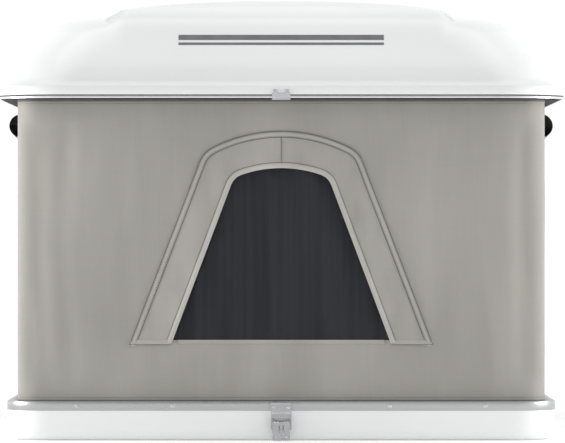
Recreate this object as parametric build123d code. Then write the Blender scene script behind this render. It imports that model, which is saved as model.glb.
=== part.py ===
from build123d import *
from math import asin, cos, degrees, radians
import os

# Hard-shell roof tent, standing open. Millimetres. +Z is up, X runs across the tent, Y along it.
# The origin is the middle of the underside of the base. The front end faces -Y, and the crank
# and the rear end face +Y. Each end carries the same lift gear, turned half a turn about Z.

# ---- driving dimensions -------------------------------------------------------------------
LID_HALF_W, LID_HALF_L, LID_CORNER = 650.0, 1050.0, 150.0
BASE_HALF_W, BASE_HALF_L, BASE_CORNER = 627.0, 1027.0, 95.0
WALL_HALF_W, WALL_HALF_L, WALL_CORNER = 603.0, 1003.0, 50.0
TRAY_TOP, RIM_TOP = 68.0, 89.0
LID_BOTTOM, SKIRT_TOP = 776.0, 811.0
CLOSED_GAP = 2.0  # between the lid's edge and the rim when the lid is down

# shells and sheets
TRAY_SKIN, TRAY_FLOOR, TRAY_EDGE_RADIUS = 5.0, 10.0, 7.5
LID_SKIN = 4.0
CLOTH = 2.0
WALL_LOW, WALL_TOP = 75.0, 803.0
FLANGE_LOW, FLANGE_HIGH = 803.0, 808.0
FLANGE_INSET = 6.5  # from the outside of the cloth to the flange's inner edge

# lift gear: the crossed arms of one end
ARM_LENGTH, ARM_HALF_H, ARM_T = 1100.0, 15.0, 8.0
PIVOT_X, LOW_PIVOT_Z, HIGH_PIVOT_Z = 550.0, 55.0, 786.0
ARM_A_Y, ARM_B_Y = 990.0, 978.0  # middle planes of the outer and the inner arm
PIN_R, RUNNING_FIT = 5.0, 0.05
SCREW_Y, SCREW_Z, SCREW_R = 963.0, 36.0, 6.0
SHAFT_X, SHAFT_R = 592.0, 5.0
GEAR_R, GEAR_FACE, GEAR_BACKLASH = 14.0, 6.0, 0.3
CRANK_X, CRANK_THROW = 180.0, 120.0

# window in each end wall, and door in each side wall
WINDOW_FOOT, WINDOW_FOOT_HALF, WINDOW_SHOULDER, WINDOW_SHOULDER_HALF = 218.0, 341.0, 655.0, 178.0
WINDOW_ARCH_TOP, WINDOW_ARCH_RADIUS = 704.0, 60.0
MESH_LOW, MESH_LOW_HALF, MESH_HIGH, MESH_HIGH_HALF = 228.0, 247.0, 598.0, 108.0
MESH_TOP, MESH_RADIUS = 620.0, 38.0
DOOR_HALF_L, DOOR_LOW, DOOR_HIGH, DOOR_CORNER = 660.0, 150.0, 757.0, 45.0
ROLL_X, ROLL_Z, ROLL_R, ROLL_HALF_L = 612.0, 723.0, 30.0, 628.0

# ---- worked out from them -----------------------------------------------------------------
LIFT = LID_BOTTOM - RIM_TOP - CLOSED_GAP
OPEN_ANGLE = degrees(asin((HIGH_PIVOT_Z - LOW_PIVOT_Z) / ARM_LENGTH))
SHUT_ANGLE = degrees(asin((HIGH_PIVOT_Z - LOW_PIVOT_Z - LIFT) / ARM_LENGTH))
REACH_OPEN = ARM_LENGTH * cos(radians(OPEN_ANGLE))
REACH_SHUT = ARM_LENGTH * cos(radians(SHUT_ANGLE))
SLIDER_X = REACH_OPEN - PIVOT_X  # where the sliding ends of the arms stand when open
MIDDLE_X, MIDDLE_Z = REACH_OPEN / 2 - PIVOT_X, (LOW_PIVOT_Z + HIGH_PIVOT_Z) / 2
HALF_TURN = Rot(0, 0, 180)
nodes = {}


# ---- building blocks ----------------------------------------------------------------------
def slab(half_w, half_l, corner, low, high):
    """A flat slab with a rounded-rectangle plan."""
    return extrude(Plane.XY.offset(low) * RectangleRounded(2 * half_w, 2 * half_l, corner), high - low)


def ring(half_w, half_l, corner, width, low, high):
    """A rounded-rectangle frame, width thick in plan."""
    inner = slab(half_w - width, half_l - width, corner - width, low - 1, high + 1)
    return slab(half_w, half_l, corner, low, high) - inner


def block(x, y, z):
    """A box between two values on each axis."""
    size = [high - low for low, high in (x, y, z)]
    middle = [(high + low) / 2 for low, high in (x, y, z)]
    return Pos(*middle) * Box(*size)


def plate_xz(sketch, y_low, y_high):
    """A sketch drawn in X and Z, as thick as from y_low to y_high."""
    return extrude(Plane.XZ.offset(-y_high) * sketch, y_high - y_low)


def plate_yz(sketch, x_low, x_high):
    """A sketch drawn in Y and Z, as thick as from x_low to x_high."""
    return extrude(Plane.YZ.offset(x_low) * sketch, x_high - x_low)


def rod_x(y, z, radius, x_low, x_high):
    return plate_yz(Pos(y, z) * Circle(radius), x_low, x_high)


def rod_y(x, z, radius, y_low, y_high):
    return plate_xz(Pos(x, z) * Circle(radius), y_low, y_high)


def rod_z(x, y, radius, z_low, z_high):
    return extrude(Plane.XY.offset(z_low) * Pos(x, y) * Circle(radius), z_high - z_low)


def rod_between_x(x, y, z, radius, length):
    """A short rod along X, centred at x."""
    return rod_x(y, z, radius, x - length / 2, x + length / 2)


def both_ends(name, front):
    """The same piece at the front and, half a turn round, at the rear, as two nodes."""
    nodes[name + "_front"] = front
    nodes[name + "_rear"] = HALF_TURN * front


def group(shapes):
    """Separate solids kept in one node."""
    return Compound(children=[Part(shape.wrapped) for shape in shapes])


def pair(name, front):
    """The same piece at the front and, half a turn round, at the rear, as one node."""
    nodes[name] = group([front, HALF_TURN * front])


# ---- base ---------------------------------------------------------------------------------
RIM_HALF_W, RIM_HALF_L, RIM_CORNER = BASE_HALF_W + 1, BASE_HALF_L + 1, BASE_CORNER + 1
RIM_SKIN = 3.0
SCREW_HEAD_Z, SCREW_HEAD_R = 78.0, 4.5
RAIL_X, RAIL_HALF_W, RAIL_HALF_L, RAIL_H = 400.0, 20.0, 850.0, 6.0
BOLT_Y, BOLT_R = (-600.0, -250.0, 250.0, 600.0), 4.25
SOCKET_R = 11.0


def base_shell():
    """Moulded tray: a floor, an upright wall and a lip that stands up inside the rim."""
    tray = slab(BASE_HALF_W, BASE_HALF_L, BASE_CORNER, 0, TRAY_TOP)
    tray = fillet(tray.edges().group_by(Axis.Z)[0], TRAY_EDGE_RADIUS * 3)
    hollow = (BASE_HALF_W - TRAY_SKIN, BASE_HALF_L - TRAY_SKIN, BASE_CORNER - TRAY_SKIN)
    cavity = slab(*hollow, TRAY_FLOOR, TRAY_TOP + 1)
    cavity = fillet(cavity.edges().group_by(Axis.Z)[0], TRAY_EDGE_RADIUS)
    tray -= cavity
    shoulder = ring(BASE_HALF_W, BASE_HALF_L, BASE_CORNER, 14, TRAY_TOP - 5, TRAY_TOP)
    lip = ring(BASE_HALF_W - 9, BASE_HALF_L - 9, BASE_CORNER - 9, 5, TRAY_TOP - 5, RIM_TOP - 5)
    tray = tray + shoulder + lip
    for side in (-1, 1):
        tray -= mount_rail_blank(side * RAIL_X)
    return tray - rod_y(CRANK_X, SCREW_Z, SOCKET_R, BASE_HALF_L - 30, BASE_HALF_L + 5)


def mount_rail_blank(x):
    return block((x - RAIL_HALF_W, x + RAIL_HALF_W), (-RAIL_HALF_L, RAIL_HALF_L), (0, RAIL_H))


def mount_rail(x):
    """Aluminium strip let into the underside, drilled for the roof-bar bolts."""
    rail = mount_rail_blank(x)
    for y in BOLT_Y:
        rail -= rod_z(x, y, BOLT_R, -1, RAIL_H + 1)
    return rail


def rim_rail():
    """Aluminium angle that caps the tray's lip, as far in as the outside of the cloth."""
    rail = slab(RIM_HALF_W, RIM_HALF_L, RIM_CORNER, TRAY_TOP, RIM_TOP)
    rail -= slab(WALL_HALF_W, WALL_HALF_L, WALL_CORNER, TRAY_TOP - 1, RIM_TOP + 1)
    under = [size - RIM_SKIN for size in (RIM_HALF_W, RIM_HALF_L, RIM_CORNER)]
    return rail - slab(*under, TRAY_TOP - 1, RIM_TOP - RIM_SKIN)


def rim_screws():
    """Domed screws through the rim: four on each end and five on each side."""
    heads = []
    for end in (-1, 1):
        for x in (-464, -247, 247, 464):
            face = end * RIM_HALF_L
            heads.append(rod_y(x, SCREW_HEAD_Z, SCREW_HEAD_R, *sorted((face, face + end * 2))))
    for side in (-1, 1):
        for y in (-800, -400, 0, 400, 800):
            face = side * RIM_HALF_W
            heads.append(rod_x(y, SCREW_HEAD_Z, SCREW_HEAD_R, *sorted((face, face + side * 2))))
    return group(fillet(head.edges().filter_by(GeomType.CIRCLE), 0.8) for head in heads)


def rim_joint_covers():
    """Thin plates over the rim's two joints, at the middle of each end."""
    front = block((-23, 23), (-RIM_HALF_L - 1, -RIM_HALF_L), (TRAY_TOP + 1, RIM_TOP - 1))
    return group([front, HALF_TURN * front])


MATTRESS_HALF_W, MATTRESS_HALF_L = 572.0, 938.0
nodes["base_shell"] = base_shell()
nodes["rim_rail"] = rim_rail()
nodes["rim_screws"] = rim_screws()
nodes["rim_joint_covers"] = rim_joint_covers()
nodes["mount_rails"] = group([mount_rail(-RAIL_X), mount_rail(RAIL_X)])
nodes["floor_liner"] = slab(MATTRESS_HALF_W, MATTRESS_HALF_L, 60, TRAY_FLOOR, TRAY_FLOOR + 4)
mattress = slab(MATTRESS_HALF_W - 4, MATTRESS_HALF_L - 4, 60, TRAY_FLOOR + 4, TRAY_FLOOR + 69)
nodes["mattress"] = fillet(mattress.edges().group_by(Axis.Z)[-1], 14)

# ---- lift gear: one end, drawn at the front ---------------------------------------------------
SILL_TOP, SILL_HALF_L = TRAY_FLOOR + 4, 576.0
BEAM_HALF_L, ROLLER_R = 566.0, 8.0
END_BEARING_X, INNER_BEARING_X, BEARING_HALF_T = 570.0, 225.0, 5.0


def arm(y_middle, lean):
    """Flat bar with rounded ends, drilled at both ends and in the middle."""
    bar = SlotCenterToCenter(ARM_LENGTH, 2 * ARM_HALF_H)
    for along in (-1, 0, 1):
        bar -= Pos(along * ARM_LENGTH / 2, 0) * Circle(PIN_R + RUNNING_FIT)
    solid = plate_xz(bar, y_middle - ARM_T / 2, y_middle + ARM_T / 2)
    long_edges = solid.edges().filter_by(Axis.X)
    return Pos(MIDDLE_X, 0, MIDDLE_Z) * Rot(0, -lean, 0) * chamfer(long_edges, 1)


def lower_pivot():
    """Bracket on the sill: two ears either side of the outer arm's lower end."""
    ear = Pos(-PIVOT_X, LOW_PIVOT_Z) * Circle(12)
    ear += Pos(-PIVOT_X, (LOW_PIVOT_Z + SILL_TOP) / 2) * Rectangle(24, LOW_PIVOT_Z - SILL_TOP)
    ear -= Pos(-PIVOT_X, LOW_PIVOT_Z) * Circle(PIN_R)
    outer = plate_xz(ear, -ARM_A_Y - 8, -ARM_A_Y - 4.6)
    inner = plate_xz(ear, -ARM_A_Y + 4.6, -ARM_A_Y + 7.6)
    wide = (-PIVOT_X - 12, -PIVOT_X + 12)
    foot = block(wide, (-ARM_A_Y - 8, -ARM_A_Y + 7.6), (SILL_TOP, SILL_TOP + 4))
    return outer + inner + foot


def upper_pivot():
    """Bracket under the roof beam: two ears either side of the inner arm's upper end."""
    ear = Pos(-PIVOT_X, HIGH_PIVOT_Z) * Circle(11)
    ear += Pos(-PIVOT_X, (HIGH_PIVOT_Z + FLANGE_HIGH) / 2) * Rectangle(22, FLANGE_HIGH - HIGH_PIVOT_Z)
    ear -= Pos(-PIVOT_X, HIGH_PIVOT_Z) * Circle(PIN_R)
    return plate_xz(ear, -ARM_B_Y - 7, -ARM_B_Y - 4.5) + plate_xz(ear, -ARM_B_Y + 4.5, -ARM_B_Y + 8)


def sill():
    """Flat bar on the tray's floor that carries the pivot, the screw's bearings and the nut."""
    return block((-SILL_HALF_L, SILL_HALF_L), (-996, -946), (TRAY_FLOOR, SILL_TOP))


def nut():
    """Block on the lift screw, with a pin for the inner arm's lower end."""
    tall = (SILL_TOP + 0.5, LOW_PIVOT_Z + 10)
    body = block((SLIDER_X - 14, SLIDER_X + 14), (-SCREW_Y - 9, -SCREW_Y + 9), tall)
    body = fillet(body.edges().filter_by(Axis.Y), 3)
    body -= rod_x(-SCREW_Y, SCREW_Z, SCREW_R + 0.4, SLIDER_X - 20, SLIDER_X + 20)
    return body + rod_y(SLIDER_X, LOW_PIVOT_Z, PIN_R, -ARM_B_Y - 5, -SCREW_Y - 8)


def bearing(x):
    """Pillow block for the lift screw."""
    thick = (x - BEARING_HALF_T, x + BEARING_HALF_T)
    body = block(thick, (-SCREW_Y - 10, -SCREW_Y + 10), (SILL_TOP, SCREW_Z + 12))
    body = fillet(body.edges().filter_by(Axis.X).group_by(Axis.Z)[-1], 9)
    return body - rod_x(-SCREW_Y, SCREW_Z, SCREW_R + RUNNING_FIT, x - 10, x + 10)


def bevel_gear(back, turn):
    """Mitre gear on the X axis, with its apex at the origin and its back at -back."""
    face = GEAR_R - GEAR_FACE
    front = -back + GEAR_FACE
    profile = Polyline((-back, 0), (-back, GEAR_R), (front, face), (front, 0), close=True)
    gear = revolve(make_face(profile), Axis.X)
    gap = Pos(-back + GEAR_FACE / 2, 0, GEAR_R - GEAR_FACE / 2 + 1.2) * Rot(0, 45, 0) * Box(12, 1.6, 3)
    for i in range(20):
        gear -= Rot((i + turn) * 18, 0, 0) * gap
    return gear


def track():
    """Channel under the roof beam: the outer arm's roller runs in it."""
    last_x = REACH_SHUT - PIVOT_X  # where the roller stands when the lid is down
    body = block((SLIDER_X - 24, last_x + 16), (-985.5, -968), (HIGH_PIVOT_Z - 11, FLANGE_HIGH))
    room = ROLLER_R + 0.2
    slot = block((SLIDER_X - 30, last_x + 20), (-990, -971), (HIGH_PIVOT_Z - room, HIGH_PIVOT_Z + room))
    return body - slot


def roof_beam():
    """Angle bar that rests on the lid's flange and carries the track and the pivot."""
    long = (-BEAM_HALF_L, BEAM_HALF_L)
    flat = block(long, (-1010, -960), (FLANGE_HIGH, FLANGE_HIGH + 3))
    return flat + block(long, (-963, -960), (FLANGE_HIGH, FLANGE_HIGH + 28))


gear_back = GEAR_R + GEAR_BACKLASH
screw_gear = Pos(SHAFT_X, -SCREW_Y, SCREW_Z) * bevel_gear(gear_back, 0)
shaft_gear = Pos(SHAFT_X, -SCREW_Y, SCREW_Z) * Rot(0, 0, -90) * bevel_gear(gear_back, 0.5)

pair("scissor_sills", sill())
pair("lower_pivot_brackets", lower_pivot())
pair("lower_pivot_pins", rod_y(-PIVOT_X, LOW_PIVOT_Z, PIN_R, -ARM_A_Y - 8, -ARM_A_Y + 7.6))
both_ends("arm_outer", arm(-ARM_A_Y, OPEN_ANGLE))
both_ends("arm_inner", arm(-ARM_B_Y, -OPEN_ANGLE))
center_pin = rod_y(MIDDLE_X, MIDDLE_Z, PIN_R, -ARM_A_Y - 5, -ARM_B_Y + 6)
roller_pin = rod_y(SLIDER_X, HIGH_PIVOT_Z, PIN_R, -ARM_A_Y - 5, -972.5)
both_ends("arm_pins", group([center_pin, roller_pin]))
roller = rod_y(SLIDER_X, HIGH_PIVOT_Z, ROLLER_R, -984, -973) - rod_y(
    SLIDER_X, HIGH_PIVOT_Z, PIN_R + RUNNING_FIT, -990, -970
)
both_ends("track_roller", roller)
both_ends("lift_nut", nut())
pair("roof_beams", roof_beam())
pair("roof_tracks", track())
pair("upper_pivot_brackets", upper_pivot())
pair("upper_pivot_pins", rod_y(-PIVOT_X, HIGH_PIVOT_Z, PIN_R, -ARM_B_Y - 7, -ARM_B_Y + 8))

# The front screw meets the long shaft at its +X end. The rear one runs the tent's whole width,
# because its nut works on the -X side, and it also meets the crank's input shaft.
front_screw = rod_x(-SCREW_Y, SCREW_Z, SCREW_R, INNER_BEARING_X - 10, SHAFT_X - gear_back)
nodes["lift_screw_front"] = front_screw + screw_gear
rear_screw = rod_x(SCREW_Y, SCREW_Z, SCREW_R, -END_BEARING_X - BEARING_HALF_T, SHAFT_X - gear_back)
rear_screw += mirror(screw_gear, Plane.XZ)
rear_screw += Pos(CRANK_X, SCREW_Y, SCREW_Z) * bevel_gear(gear_back, 0)
nodes["lift_screw_rear"] = rear_screw
rear_places = (-END_BEARING_X, -INNER_BEARING_X, CRANK_X - 26, END_BEARING_X)
rear_bearings = [mirror(bearing(x), Plane.XZ) for x in rear_places]
nodes["screw_bearings"] = group([bearing(INNER_BEARING_X), bearing(END_BEARING_X)] + rear_bearings)

shaft = rod_y(SHAFT_X, SCREW_Z, SHAFT_R, -SCREW_Y + gear_back, SCREW_Y - gear_back)
nodes["drive_shaft"] = shaft + shaft_gear + mirror(shaft_gear, Plane.XZ)


def shaft_hanger(y):
    """Small upright that holds the long shaft beside the mattress."""
    body = block((SHAFT_X - 11, SHAFT_X + 11), (y - 4, y + 4), (TRAY_FLOOR, SCREW_Z + 10))
    body = fillet(body.edges().filter_by(Axis.Y).group_by(Axis.Z)[-1], 8)
    return body - rod_y(SHAFT_X, SCREW_Z, SHAFT_R + RUNNING_FIT, y - 10, y + 10)


nodes["shaft_hangers"] = group([shaft_hanger(y) for y in (-930, -465, 0, 465, 930)])

# ---- crank, at the rear ---------------------------------------------------------------------
INPUT_R, HEX_ACROSS, HEX_GAP = 9.0, 10.0, 0.15
CRANK_ARM_Y = BASE_HALF_L + 40


def hexagon_rod(across, y_low, y_high):
    hexagon = RegularPolygon(across / 2, 6, major_radius=False)
    return plate_xz(Pos(CRANK_X, SCREW_Z) * hexagon, y_low, y_high)


crank_gear = Pos(CRANK_X, SCREW_Y, SCREW_Z) * Rot(0, 0, -90) * bevel_gear(gear_back, 0.5)
input_shaft = rod_y(CRANK_X, SCREW_Z, INPUT_R, SCREW_Y + gear_back, BASE_HALF_L + 4)
input_shaft += crank_gear
hex_socket = hexagon_rod(HEX_ACROSS + 2 * HEX_GAP, BASE_HALF_L - 16, BASE_HALF_L + 6)
nodes["crank_input_shaft"] = input_shaft - hex_socket
bush = rod_y(CRANK_X, SCREW_Z, SOCKET_R, BASE_HALF_L - 9, BASE_HALF_L)
bush += rod_y(CRANK_X, SCREW_Z, SOCKET_R + 5, BASE_HALF_L, BASE_HALF_L + 3)
nodes["crank_socket_bush"] = bush - rod_y(
    CRANK_X, SCREW_Z, INPUT_R + RUNNING_FIT, BASE_HALF_L - 20, BASE_HALF_L + 10
)


def crank_handle():
    """Hexagon shank, throw and the spindle that the knob turns on."""
    shank = hexagon_rod(HEX_ACROSS, BASE_HALF_L - 15, CRANK_ARM_Y + 1)
    throw = Pos(CRANK_X, SCREW_Z + CRANK_THROW / 2) * Rot(0, 0, 90) * SlotCenterToCenter(CRANK_THROW, 24)
    throw = plate_xz(throw, CRANK_ARM_Y, CRANK_ARM_Y + 6)
    throw = fillet(throw.edges().filter_by(Axis.Z), 1.5)
    spindle = rod_y(CRANK_X, SCREW_Z + CRANK_THROW, 4, CRANK_ARM_Y + 5, CRANK_ARM_Y + 92)
    cap = rod_y(CRANK_X, SCREW_Z + CRANK_THROW, 6.5, CRANK_ARM_Y + 92, CRANK_ARM_Y + 95)
    return shank + throw + spindle + cap


def crank_knob():
    """Turned grip, thicker in its middle, free to turn on the spindle."""
    low, high = CRANK_ARM_Y + 7, CRANK_ARM_Y + 91
    middle = (low + high) / 2
    bore = 4 + RUNNING_FIT
    outline = Polyline((11, high), (bore, high), (bore, low), (11, low))
    side = ThreePointArc((11, low), (15, middle), (11, high))
    grip = revolve(make_face(outline + side), Axis.Y)
    return Pos(CRANK_X, 0, SCREW_Z + CRANK_THROW) * grip


nodes["crank_handle"] = crank_handle()
nodes["crank_knob"] = crank_knob()

# ---- latches, one at the middle of each end ---------------------------------------------------
LATCH_PIN_Y, LATCH_PIN_Z, LATCH_PIN_R = -BASE_HALF_L - 17, 43.0, 2.5
CLAW_PIN_Z = LATCH_PIN_Z - 12
KEEPER_HALF_W, KEEPER_T, KEEPER_SCREW_X = 21.0, 1.8, (-13.4, 13.4)
LATCH_HALF_W, EYE_R, KEYWAY_X, KEYWAY_HALF_W = 23.0, 5.0, 4.5, 1.4
EAR_X, FLANGE_X, STRAP_X = 16.0, 19.0, 22.5  # middle planes of the ears, flanges and straps


def latch_plate():
    """Stainless plate on the tray with two ears for the lever's pin."""
    plate = block((-LATCH_HALF_W, LATCH_HALF_W), (-BASE_HALF_L - 2, -BASE_HALF_L), (24, 60))
    for side in (-1, 1):
        x = (side * EAR_X - 1, side * EAR_X + 1)
        plate += block(x, (LATCH_PIN_Y, -BASE_HALF_L - 1), (LATCH_PIN_Z - 5, LATCH_PIN_Z + 5))
        plate += rod_x(LATCH_PIN_Y, LATCH_PIN_Z, EYE_R, *x)
        plate += rod_x(LATCH_PIN_Y, LATCH_PIN_Z, LATCH_PIN_R, *sorted((side * 15, side * 20)))
    return plate


def latch_lever():
    """Pressed lever: an outer plate with a keyway and two folded flanges."""
    tall = LATCH_PIN_Z - 1
    lever = block((-20, 20), (LATCH_PIN_Y - 8.5, LATCH_PIN_Y - 6.5), (1, LATCH_PIN_Z))
    lever = fillet(lever.edges().filter_by(Axis.Y).group_by(Axis.Z)[0], 4)
    for side in (-1, 1):
        x = (side * FLANGE_X - 1, side * FLANGE_X + 1)
        flange = block(x, (LATCH_PIN_Y - 7, LATCH_PIN_Y + 5), (4, LATCH_PIN_Z))
        flange += rod_x(LATCH_PIN_Y, LATCH_PIN_Z, EYE_R, *x)
        lever += flange - rod_x(LATCH_PIN_Y, LATCH_PIN_Z, LATCH_PIN_R + RUNNING_FIT, -30, 30)
        lever += rod_between_x(side * 21.75, LATCH_PIN_Y, CLAW_PIN_Z, LATCH_PIN_R, 3.5)
    through = (-BASE_HALF_L - 40, LATCH_PIN_Y - 6)
    for x in (-KEYWAY_X, KEYWAY_X):
        lever -= block((x - KEYWAY_HALF_W, x + KEYWAY_HALF_W), through, (8, tall - 6))
    return lever - block((-KEYWAY_X, KEYWAY_X), through, (8, 8 + 2 * KEYWAY_HALF_W))


def latch_claw():
    """Two straps and the hook plate that they carry up over the rim."""
    plate = block((-23.5, 23.5), (LATCH_PIN_Y - 6, LATCH_PIN_Y - 4), (65, 87))
    lip = block((-20, 20), (LATCH_PIN_Y - 5, LATCH_PIN_Y + 2), (85, 87))
    claw = plate + lip
    for side in (-1, 1):
        x = (side * STRAP_X - 1, side * STRAP_X + 1)
        strap = block(x, (LATCH_PIN_Y - 4, LATCH_PIN_Y + 2), (CLAW_PIN_Z, 67))
        strap += block(x, (LATCH_PIN_Y - 6, LATCH_PIN_Y + 2), (64, 76))
        strap += rod_x(LATCH_PIN_Y - 0.5, CLAW_PIN_Z, 3.5, *x)
        claw += strap
    claw -= rod_x(LATCH_PIN_Y, CLAW_PIN_Z, LATCH_PIN_R + RUNNING_FIT, -30, 30)
    return claw


def keeper():
    """Bright angle under the lid's edge, with two tabs that its screws go through."""
    wide, thick = (-KEEPER_HALF_W, KEEPER_HALF_W), (-LID_HALF_L - 3, -LID_HALF_L - 1)
    low = LID_BOTTOM - KEEPER_T
    plate = block(wide, thick, (low, 789))
    for x in KEEPER_SCREW_X:
        plate += block((x - 4.5, x + 4.5), thick, (788, 798))
    return plate + block(wide, (-LID_HALF_L - 3, -LID_HALF_L + 4), (low, LID_BOTTOM))


pair("latch_plates", latch_plate())
both_ends("latch_lever", latch_lever())
both_ends("latch_claw", latch_claw())
pair("lid_keepers", keeper())
screws = [rod_y(x, 794, 3.4, -LID_HALF_L - 5, -LID_HALF_L - 3) for x in KEEPER_SCREW_X]
nodes["keeper_screws"] = group(screws + [HALF_TURN * screw for screw in screws])

# ---- lid ------------------------------------------------------------------------------------
# The lid's outside, from the edge up: height and half width. Its half length falls a little
# faster than its half width, so its ends slope more gently than its sides.
END_SLOPE = 1.25
SIDE = (
    (818, 635), (839, 626.5), (865, 611), (915, 571), (939, 551),
    (955.5, 531), (966.5, 501), (978, 448), (986.5, 389),
)
# The raised middle of the lid: height, half width and half length.
CROWN = (
    (865, 396, 998), (915, 394, 954), (939, 392, 933), (954, 390, 915), (970, 386, 885), (983, 380, 845),
    (991, 366, 808), (998, 326, 775), (1007, 236, 745), (1013, 110, 720), (1014.5, 60, 700),
)


def section(z, half_w, half_l, corner):
    return Plane.XY.offset(z) * RectangleRounded(2 * half_w, 2 * half_l, corner)


def side_corner(z):
    """Plan radius of the lid's corners, which grows as the sides close in."""
    return LID_CORNER + 0.5 * (z - SKIRT_TOP)


def lid_body(skin):
    """The lid's solid outside, or its hollow when skin is the thickness."""
    sections = [(SKIRT_TOP, LID_HALF_W - 9)] + list(SIDE) + [(989, 300)]
    faces = []
    for z, half_w in sections:
        half_l = LID_HALF_L - END_SLOPE * (LID_HALF_W - half_w)
        faces.append(section(z - skin, half_w - skin, half_l - skin, side_corner(z) - skin))
    return loft(faces, ruled=True)


def crown_body(skin):
    rows = CROWN if skin == 0 else CROWN[3:]
    return loft([section(z - skin, w - skin, half_l - skin, 40) for z, w, half_l in rows], ruled=True)


def skirt(inset, low, high):
    return slab(LID_HALF_W - inset, LID_HALF_L - inset, LID_CORNER - inset, low, high)


TRIM_HIGH = LID_BOTTOM + 8
hollow_lid = skirt(9 + LID_SKIN, LID_BOTTOM - 5, SKIRT_TOP) + lid_body(LID_SKIN) + crown_body(LID_SKIN)
outside = skirt(0, TRIM_HIGH, SKIRT_TOP - 2) + skirt(9, SKIRT_TOP - 2, SKIRT_TOP)
outside += lid_body(0) + crown_body(0)
flange = skirt(12, FLANGE_LOW, FLANGE_HIGH)
flange -= slab(
    WALL_HALF_W - FLANGE_INSET, WALL_HALF_L - FLANGE_INSET, WALL_CORNER - FLANGE_INSET,
    FLANGE_LOW - 1, FLANGE_HIGH + 1,
)
nodes["roof_shell"] = outside - hollow_lid + flange
trim = skirt(-1, LID_BOTTOM, TRIM_HIGH) - skirt(5, LID_BOTTOM - 1, TRIM_HIGH + 1)
nodes["roof_trim"] = trim
seal_inner = slab(WALL_HALF_W + 1.5, WALL_HALF_L + 1.5, WALL_CORNER + 1.5, LID_BOTTOM - 5, TRIM_HIGH + 5)
nodes["roof_seal"] = skirt(13, LID_BOTTOM + 0.5, TRIM_HIGH) - seal_inner
keder_outer = [size - CLOTH for size in (WALL_HALF_W, WALL_HALF_L, WALL_CORNER)]
nodes["roof_keder_rail"] = ring(*keder_outer, 4, 790, FLANGE_LOW)
nodes["base_keder_rail"] = ring(*keder_outer, 4, WALL_LOW, RIM_TOP)
LINER_LOW, LINER_HIGH = 938.0, 945.0
lining = slab(600, 1000, 100, LINER_HIGH, 1020) & hollow_lid
nodes["roof_insulation"] = lining
nodes["headliner"] = slab(600, 1000, 100, LINER_LOW, LINER_HIGH) & hollow_lid
LAMP_R, LENS_R, BUTTON_R, BUTTON_FIT, LAMP_LOW = 45.0, 40.0, 9.6, 0.4, LINER_LOW - 14
button_bore = rod_z(0, 0, BUTTON_R + BUTTON_FIT, LAMP_LOW - 6, LINER_LOW - 9)
housing = rod_z(0, 0, LAMP_R, LAMP_LOW, LINER_LOW) - button_bore
lower_rims = housing.edges().filter_by(GeomType.CIRCLE).group_by(Axis.Z)[0]
nodes["lamp_housing"] = fillet(lower_rims.sort_by(SortBy.RADIUS)[-1:], 3)
nodes["lamp_lens"] = rod_z(0, 0, LENS_R, LAMP_LOW - 4, LAMP_LOW) - button_bore
nodes["lamp_switch"] = rod_z(0, 0, BUTTON_R, LAMP_LOW - 6.5, LAMP_LOW + 2)


# ---- cloth ----------------------------------------------------------------------------------
def arch(foot_half, foot, high_half, high, top, radius):
    """Outline with sloping sides and a gently arched top, its upper corners rounded."""
    sides = Polyline((-high_half, high), (-foot_half, foot), (foot_half, foot), (high_half, high))
    face = make_face(sides + ThreePointArc((high_half, high), (0, top), (-high_half, high)))
    return fillet(face.vertices().group_by(Axis.Y)[-1], radius)


def surround_outline():
    """The raised band round the window: an arch with open feet."""
    outer = arch(
        WINDOW_FOOT_HALF, WINDOW_FOOT, WINDOW_SHOULDER_HALF, WINDOW_SHOULDER,
        WINDOW_ARCH_TOP, WINDOW_ARCH_RADIUS,
    )
    slope = (MESH_LOW_HALF - MESH_HIGH_HALF) / (MESH_HIGH - MESH_LOW)
    below = 20.0
    inner = arch(
        MESH_LOW_HALF + slope * below, MESH_LOW - below, MESH_HIGH_HALF, MESH_HIGH, MESH_TOP, MESH_RADIUS
    )
    return outer - inner


mesh_outline = arch(MESH_LOW_HALF, MESH_LOW, MESH_HIGH_HALF, MESH_HIGH, MESH_TOP, MESH_RADIUS)
cloth = ring(WALL_HALF_W, WALL_HALF_L, WALL_CORNER, CLOTH, WALL_LOW, WALL_TOP)
END_Y = WALL_HALF_L - WALL_CORNER
wide, tall = (-700.0, 700.0), (0.0, 900.0)
front_wall = cloth & block(wide, (-1100, -END_Y), tall)
both_ends("wall", front_wall - plate_xz(mesh_outline, -WALL_HALF_L - 5, -WALL_HALF_L + 5))
pair("window_meshes", plate_xz(mesh_outline, -WALL_HALF_L + 0.5, -WALL_HALF_L + 1.5))
pair("window_surrounds", plate_xz(surround_outline(), -WALL_HALF_L - 2, -WALL_HALF_L))

DOOR_MIDDLE = (DOOR_LOW + DOOR_HIGH) / 2
door = Pos(0, DOOR_MIDDLE) * RectangleRounded(2 * DOOR_HALF_L, DOOR_HIGH - DOOR_LOW, DOOR_CORNER)
ZIP_WIDTH, ZIP_TOP = 14.0, 688.0
zip_band = Pos(0, DOOR_MIDDLE) * RectangleRounded(
    2 * (DOOR_HALF_L + ZIP_WIDTH), DOOR_HIGH - DOOR_LOW + 2 * ZIP_WIDTH, DOOR_CORNER + ZIP_WIDTH
)
zip_band = (zip_band - door) & Pos(0, ZIP_TOP - 500) * Rectangle(2000, 1000)


def door_tie(y):
    """Strap loop that goes round the rolled door and is sewn to the wall above it."""
    loop = Pos(ROLL_X, ROLL_Z) * (Circle(ROLL_R + 2.3) - Circle(ROLL_R + 0.8))
    loop += Pos(WALL_HALF_W + 0.75, DOOR_HIGH + 6) * Rectangle(1.5, 18)
    return plate_xz(loop, y - 12, y + 12)


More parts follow.
